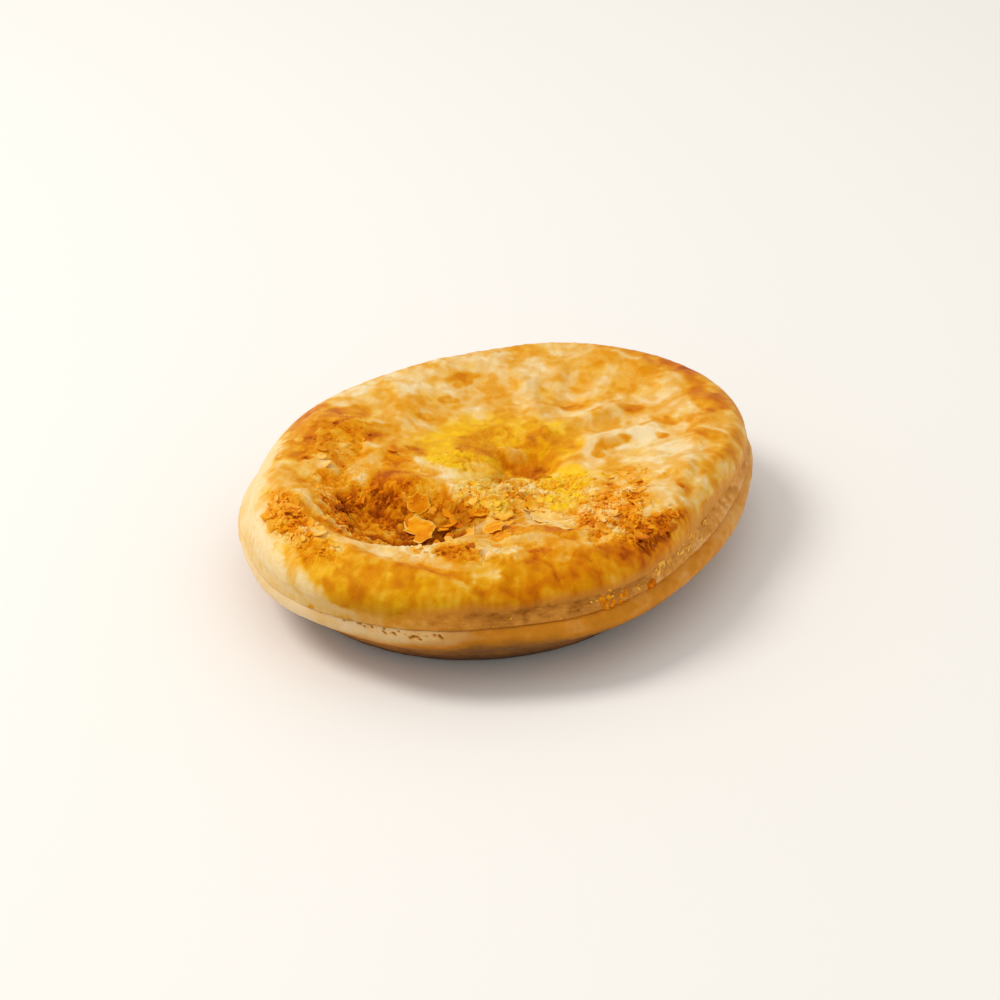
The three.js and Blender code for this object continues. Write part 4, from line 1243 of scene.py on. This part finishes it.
def bitsPiece(name, bits):  # one piece from bits that are each points, triangles and values
    starts = np.cumsum([0] + [len(points) for points, _, _ in bits])
    piece = joinedPiece(name, [(points, values) for points, _, values in bits],
                        [np.asarray(triangles) + start for (_, triangles, _), start in zip(bits, starts)])
    piece.data.materials.append(puffFlakes)
    print(name + ":", len(piece.data.polygons), "triangles")
    return piece


# Bits stuck to the cut side: first and last angle, lowest and highest, count, sizes, bake, kind.
sideBits = [
    (-116, -108, 14.6, 17.2, 24, (0.7, 1.7), 0.66, "lump"),
    (-103, -100, 15, 16.2, 3, (1.2, 2), 0.8, "lump"),
    (-99, -70, 15.6, 19.4, 20, (0.8, 2.2), 0.36, "flake"),
    (-120, -70, 15, 18, 12, (0.6, 1.4), 0.42, "flake"),
    (-140, -60, 15, 17.6, 10, (0.3, 0.8), 0.5, "lump"),
]


def makeSideBits():
    bits, seed = [], 97
    hostAngle, hostInward = placeOnLid(hostX - pieForm["centre"][0], hostY - pieForm["centre"][1])
    hostAngle = np.degrees(hostAngle)
    for zone, (first, last, low, high, count, size, bake, kind) in enumerate(sideBits):
        spots = np.flatnonzero((hostInward < 0.5) & (hostAngle > first) & (hostAngle < last)
                               & (hostZ > low) & (hostZ < high))
        for item in range(zone * 50, zone * 50 + count):
            spot = spots[int(draw(item, 1, seed) * len(spots))]
            way = math.radians(hostAngle[spot])
            long, spin = drawBetween(size, item, 2, seed), 2 * math.pi * draw(item, 3, seed)
            if kind == "lump":
                points, triangles = crumbShape(item)
                points = rotated(points * long, spin, drawBetween((0, 3), item, 4, seed), way)
                out = -0.12 * long
            else:
                outline = raggedOutline(9, item, seed, 0.5) * long
                points, triangles = leaf(outline, curl(0.25, item, seed), 0.14)
                lean = math.radians(74 + 22 * draw(item, 5, seed))
                points = rotated(rotated(points, 0, 0, spin), 0, lean, way)
                out = 0.05
            away = np.array([math.cos(way), math.sin(way), 0]) * out
            bits.append((points + away + [hostX[spot], hostY[spot], hostZ[spot]], triangles, {
                "bake": bake + 0.12 * (draw(item, 6, seed) - 0.5), "egg": 0,
                "tone": 0.3 + 0.5 * draw(item, 7, seed)}))
    return bitsPiece("sideBits", bits)


# Sheets of torn pastry that stand a little off the lid. An outline is x, y and how far it is lifted.
# A sheet's rim value makes its edge paler: a painted highlight along the torn edge.
sheets = {
    "bigFlake": {"middle": 1, "bake": 0.6, "egg": 0.2, "rim": -0.45, "outline": [
        (-28.5, 2.5, 0.7), (-26, 1.5, 1), (-25, -1.5, 1), (-26, -4.5, 1.2), (-29, -6, 1.5),
        (-31.5, -8.5, 1.8), (-34, -7.5, 1.8), (-33.5, -5, 1.5), (-31, -3.5, 1.1), (-31.5, -0.5, 0.8),
        (-30, 0.5, 0.6)]},
    "smallFlake": {"middle": 0.5, "bake": 0.66, "egg": 0.4, "rim": -0.4, "outline": [
        (-25, 5, 0.5), (-23, 3.5, 0.7), (-22, 1.5, 0.7), (-23, 0, 0.5), (-25, 1.5, 0.4), (-26, 3.5, 0.4)]},
    "curledFlake": {"middle": 0.4, "bake": 0.54, "egg": 0.4, "rim": -0.35, "outline": [
        (-25, -16, 0.3), (-22.5, -14.5, 0.7), (-21, -17, 0.9), (-23.5, -21, 1), (-26, -22, 0.8),
        (-26.5, -19, 0.3)]},
    "foldedFlake": {"middle": 0.4, "bake": 0.6, "egg": 0.1, "rim": -0.2, "outline": [
        (-33, -24, 0.3), (-30, -22.5, 0.5), (-26, -22, 0.6), (-26.5, -25.5, 0.5), (-31, -26.5, 0.3)]},
    "paleSheet": {"middle": 0.2, "bake": 0.22, "egg": 0.2, "rim": -0.1, "outline": [
        (-10, -15, 0), (-8, -19, 0), (-7.5, -22, 0), (-10.5, -26.5, 0), (-14.5, -31.5, 0.1), (-17, -33, 0.25),
        (-18, -30, 0.35), (-17, -25.5, 0.35), (-15.5, -21, 0.3), (-12.5, -17.5, 0.1)]},
    "spikeA": {"middle": 0.7, "bake": 0.72, "egg": 0, "rim": -0.1, "outline": [
        (-3, -44.5, 0.2), (-1, -45, 1.1), (1, -45, 1.5), (1.5, -44.5, 1.4), (-1.5, -44, 0.3)]},
    "spikeB": {"middle": 0.5, "bake": 0.84, "egg": 0, "rim": -0.1, "outline": [
        (-11.5, -43, 0.2), (-11, -44, 0.9), (-10, -45.5, 0.9), (-9.5, -44.5, 0.2)]},
    "spikeC": {"middle": 0.8, "bake": 0.74, "egg": 0, "rim": -0.1, "outline": [
        (2, -42.5, 0.4), (2.5, -44, 1.3), (4.5, -43.5, 1.3), (4.5, -42.5, 0.5)]},
}
sheetLook = {"thickness": 0.12, "corners": 64, "rings": 8, "ragged": 0.17, "crumple": 0.26, "tone": 0.66,
             "mottles": [(0.1, 2.2, 67, 1), (0.1, 0.9, 68, 1)], "seed": 66}


def drapedSheet(plan, item):
    look, seed = sheetLook, sheetLook["seed"]
    corners = np.array(plan["outline"])
    closed = np.vstack([corners, corners[:1]])
    along = np.concatenate([[0], np.cumsum(np.hypot(*np.diff(closed[:, :2], axis=0).T))])
    at = np.linspace(0, along[-1], look["corners"], endpoint=False)
    px, py, lift = (np.interp(at, along, closed[:, k]) for k in range(3))
    mx, my = corners.mean(axis=0)[:2]
    wave = look["ragged"] * (2 * draw(np.arange(look["corners"], dtype=float), item, seed) - 1)
    away = np.hypot(px - mx, py - my)
    px, py = px + wave * (px - mx) / away, py + wave * (py - my) / away
    flat, rise, rim = [np.array([(mx, my)])], [np.array([plan["middle"]])], [np.zeros(1)]
    for ring in range(1, look["rings"] + 1):
        t = ring / look["rings"]
        flat.append(np.column_stack([mx + (px - mx) * t, my + (py - my) * t]))
        rise.append(plan["middle"] + (lift - plan["middle"]) * t**1.5)
        rim.append(np.full(len(px), smooth(0.82, 1, t)))
    flat = np.concatenate(flat) - pieForm["centre"]
    x, y = flat.T
    z = lidTop(x, y) + np.concatenate(rise) + look["crumple"] * noise(x, y, 1.3, seed)
    _, triangles = leaf(np.column_stack([px, py]), lambda u, v: u * 0, look["thickness"], look["rings"])
    x, y, z = np.tile(x, 2), np.tile(y, 2), np.concatenate([z, z - look["thickness"]])
    bake = mottled(plan["bake"] + plan["rim"] * np.concatenate(rim * 2), x, y, look["mottles"])
    return onPie(x, y, z), triangles, {"bake": bake, "egg": plan["egg"], "tone": look["tone"]}


stuckBits = makeSideBits()
tornSheets = bitsPiece("tornSheets", [drapedSheet(plan, item) for item, plan in enumerate(sheets.values())])


# The broad flakes, as on the solid but ragged and curled.
broadFlakes = {
    "thickness": 0.22,
    "corners": 13,
    "rings": 4,
    "lift": 0.16,
    "tilt": 24,
    "margin": 2.6,
    "curl": (5, 0.2, 0.16),  # up to this length, and past it
    "palest": 0.28,
    "browningAndShade": 0.06,
    "seed": 5,
    "large": [(-24.8, 1.8, 6.4, 30, -10), (-2.3, -26.7, 5.4, -14, 10)],  # x, y, length, tilts
}


def placedFlake(item, x, y, length, *turns):
    look, seed = broadFlakes, broadFlakes["seed"]
    within = min(1, float(lidRadius(math.atan2(y, x)) - look["margin"]) / math.hypot(x, y))
    x, y = x * within, y * within
    limit, short, long = look["curl"]
    outline = raggedOutline(look["corners"], item, seed) * length
    points, triangles = leaf(outline, curl(long if length > limit else short, item, seed), look["thickness"],
                             look["rings"])
    ground = float(lidTop(np.array([x]), np.array([y]))[0])
    return rotated(points, *turns) + [x, y, ground + look["lift"]], triangles


def makeBroadFlakes():
    look, seed, bits = broadFlakes, broadFlakes["seed"], []
    for zone, (cx, cy, long, wide, turn, count, size) in enumerate(flakeZones):
        for item in range(zone * 100, zone * 100 + count):
            out, way = math.sqrt(draw(item, 1, seed)), 2 * math.pi * draw(item, 2, seed)
            x, y = turned(long * out * math.cos(way), wide * out * math.sin(way), -turn)
            most = look["tilt"]
            tilt = [math.radians(drawBetween((-most, most), item, which, seed)) for which in (4, 5)]
            bits.append(placedFlake(item, cx + x, cy + y, drawBetween(size, item, 3, seed), *tilt,
                                    2 * math.pi * draw(item, 6, seed)))
    for item, (x, y, length, *tilt) in enumerate(look["large"]):
        bits.append(placedFlake(900 + item, x, y, length, *(math.radians(a) for a in tilt), item))
    for item, (points, triangles) in enumerate(bits):
        x, y, z = points.T
        bake = np.maximum(painted(x, y, browning) + look["browningAndShade"], look["palest"])
        bits[item] = onPie(x, y, z), triangles, {"bake": bake, "egg": painted(x, y, glaze),
                                                 "tone": 0.15 + 0.6 * draw(item, 60, seed)}
    return bitsPiece("broadFlakes", bits)


broad = makeBroadFlakes()
for library in (flakeShapes, shredShapes, crumbShapes):
    for shape in list(library.objects):
        bpy.data.objects.remove(shape)
    bpy.data.collections.remove(library)

# What each piece belongs to.
for piece in (lidCrust, stuckBits, tornSheets, broad, *loosePieces):
    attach(piece, "root")
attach(caseCrust, "root")
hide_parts("lid")
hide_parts("case")

# Floor, light and camera.
studio = {
    "floor": {"Base Color": tint(250, 249, 247), "Roughness": 0.9, "Specular IOR Level": 0.1},
    "floorReach": 4,
    "world": (tint(255, 252, 247), 0.70),
    "keyLight": {"shape": "DISK", "size": 0.45, "energy": 4.85, "color": tint(255, 248, 238)[:3]},
    "keyPlace": (-0.38, 0.50, 0.85),
}
r = studio["floorReach"]
floorMesh = bpy.data.meshes.new("floor")
floorMesh.from_pydata([(-r, -r, 0), (r, -r, 0), (r, r, 0), (-r, r, 0)], [], [(0, 1, 2, 3)])
floor = bpy.data.objects.new("floor", floorMesh)
bpy.context.scene.collection.objects.link(floor)
floorMesh.materials.append(Board("floorPaint").finish(studio["floor"]))

world = bpy.data.worlds.new("studio")
bpy.context.scene.world = world
world.use_nodes = True
background = world.node_tree.nodes["Background"]
background.inputs["Color"].default_value, background.inputs["Strength"].default_value = studio["world"]
lamp = bpy.data.lights.new("keyLight", "AREA")
for label, value in studio["keyLight"].items():
    setattr(lamp, label, value)
light = bpy.data.objects.new("keyLight", lamp)
light.location = studio["keyPlace"]
light.rotation_euler = Vector(studio["keyPlace"]).to_track_quat("Z", "Y").to_euler()
bpy.context.scene.collection.objects.link(light)

shot = {"target": (-4.16, -2.03, 13.3), "towards": (-0.6370, -0.5736, 0.5150), "distance": 475,
        "lens": 81.5, "sensor": 36}
lens = bpy.data.cameras.new("camera")
lens.lens, lens.sensor_width = shot["lens"], shot["sensor"]
camera = bpy.data.objects.new("camera", lens)
towards = Vector(shot["towards"]).normalized()
camera.location = (Vector(shot["target"]) + towards * shot["distance"]) * mm
camera.rotation_euler = towards.to_track_quat("Z", "Y").to_euler()
bpy.context.scene.collection.objects.link(camera)
bpy.context.scene.camera = camera
bpy.context.scene.view_settings.view_transform = "Standard"
print("floor, light and camera set")
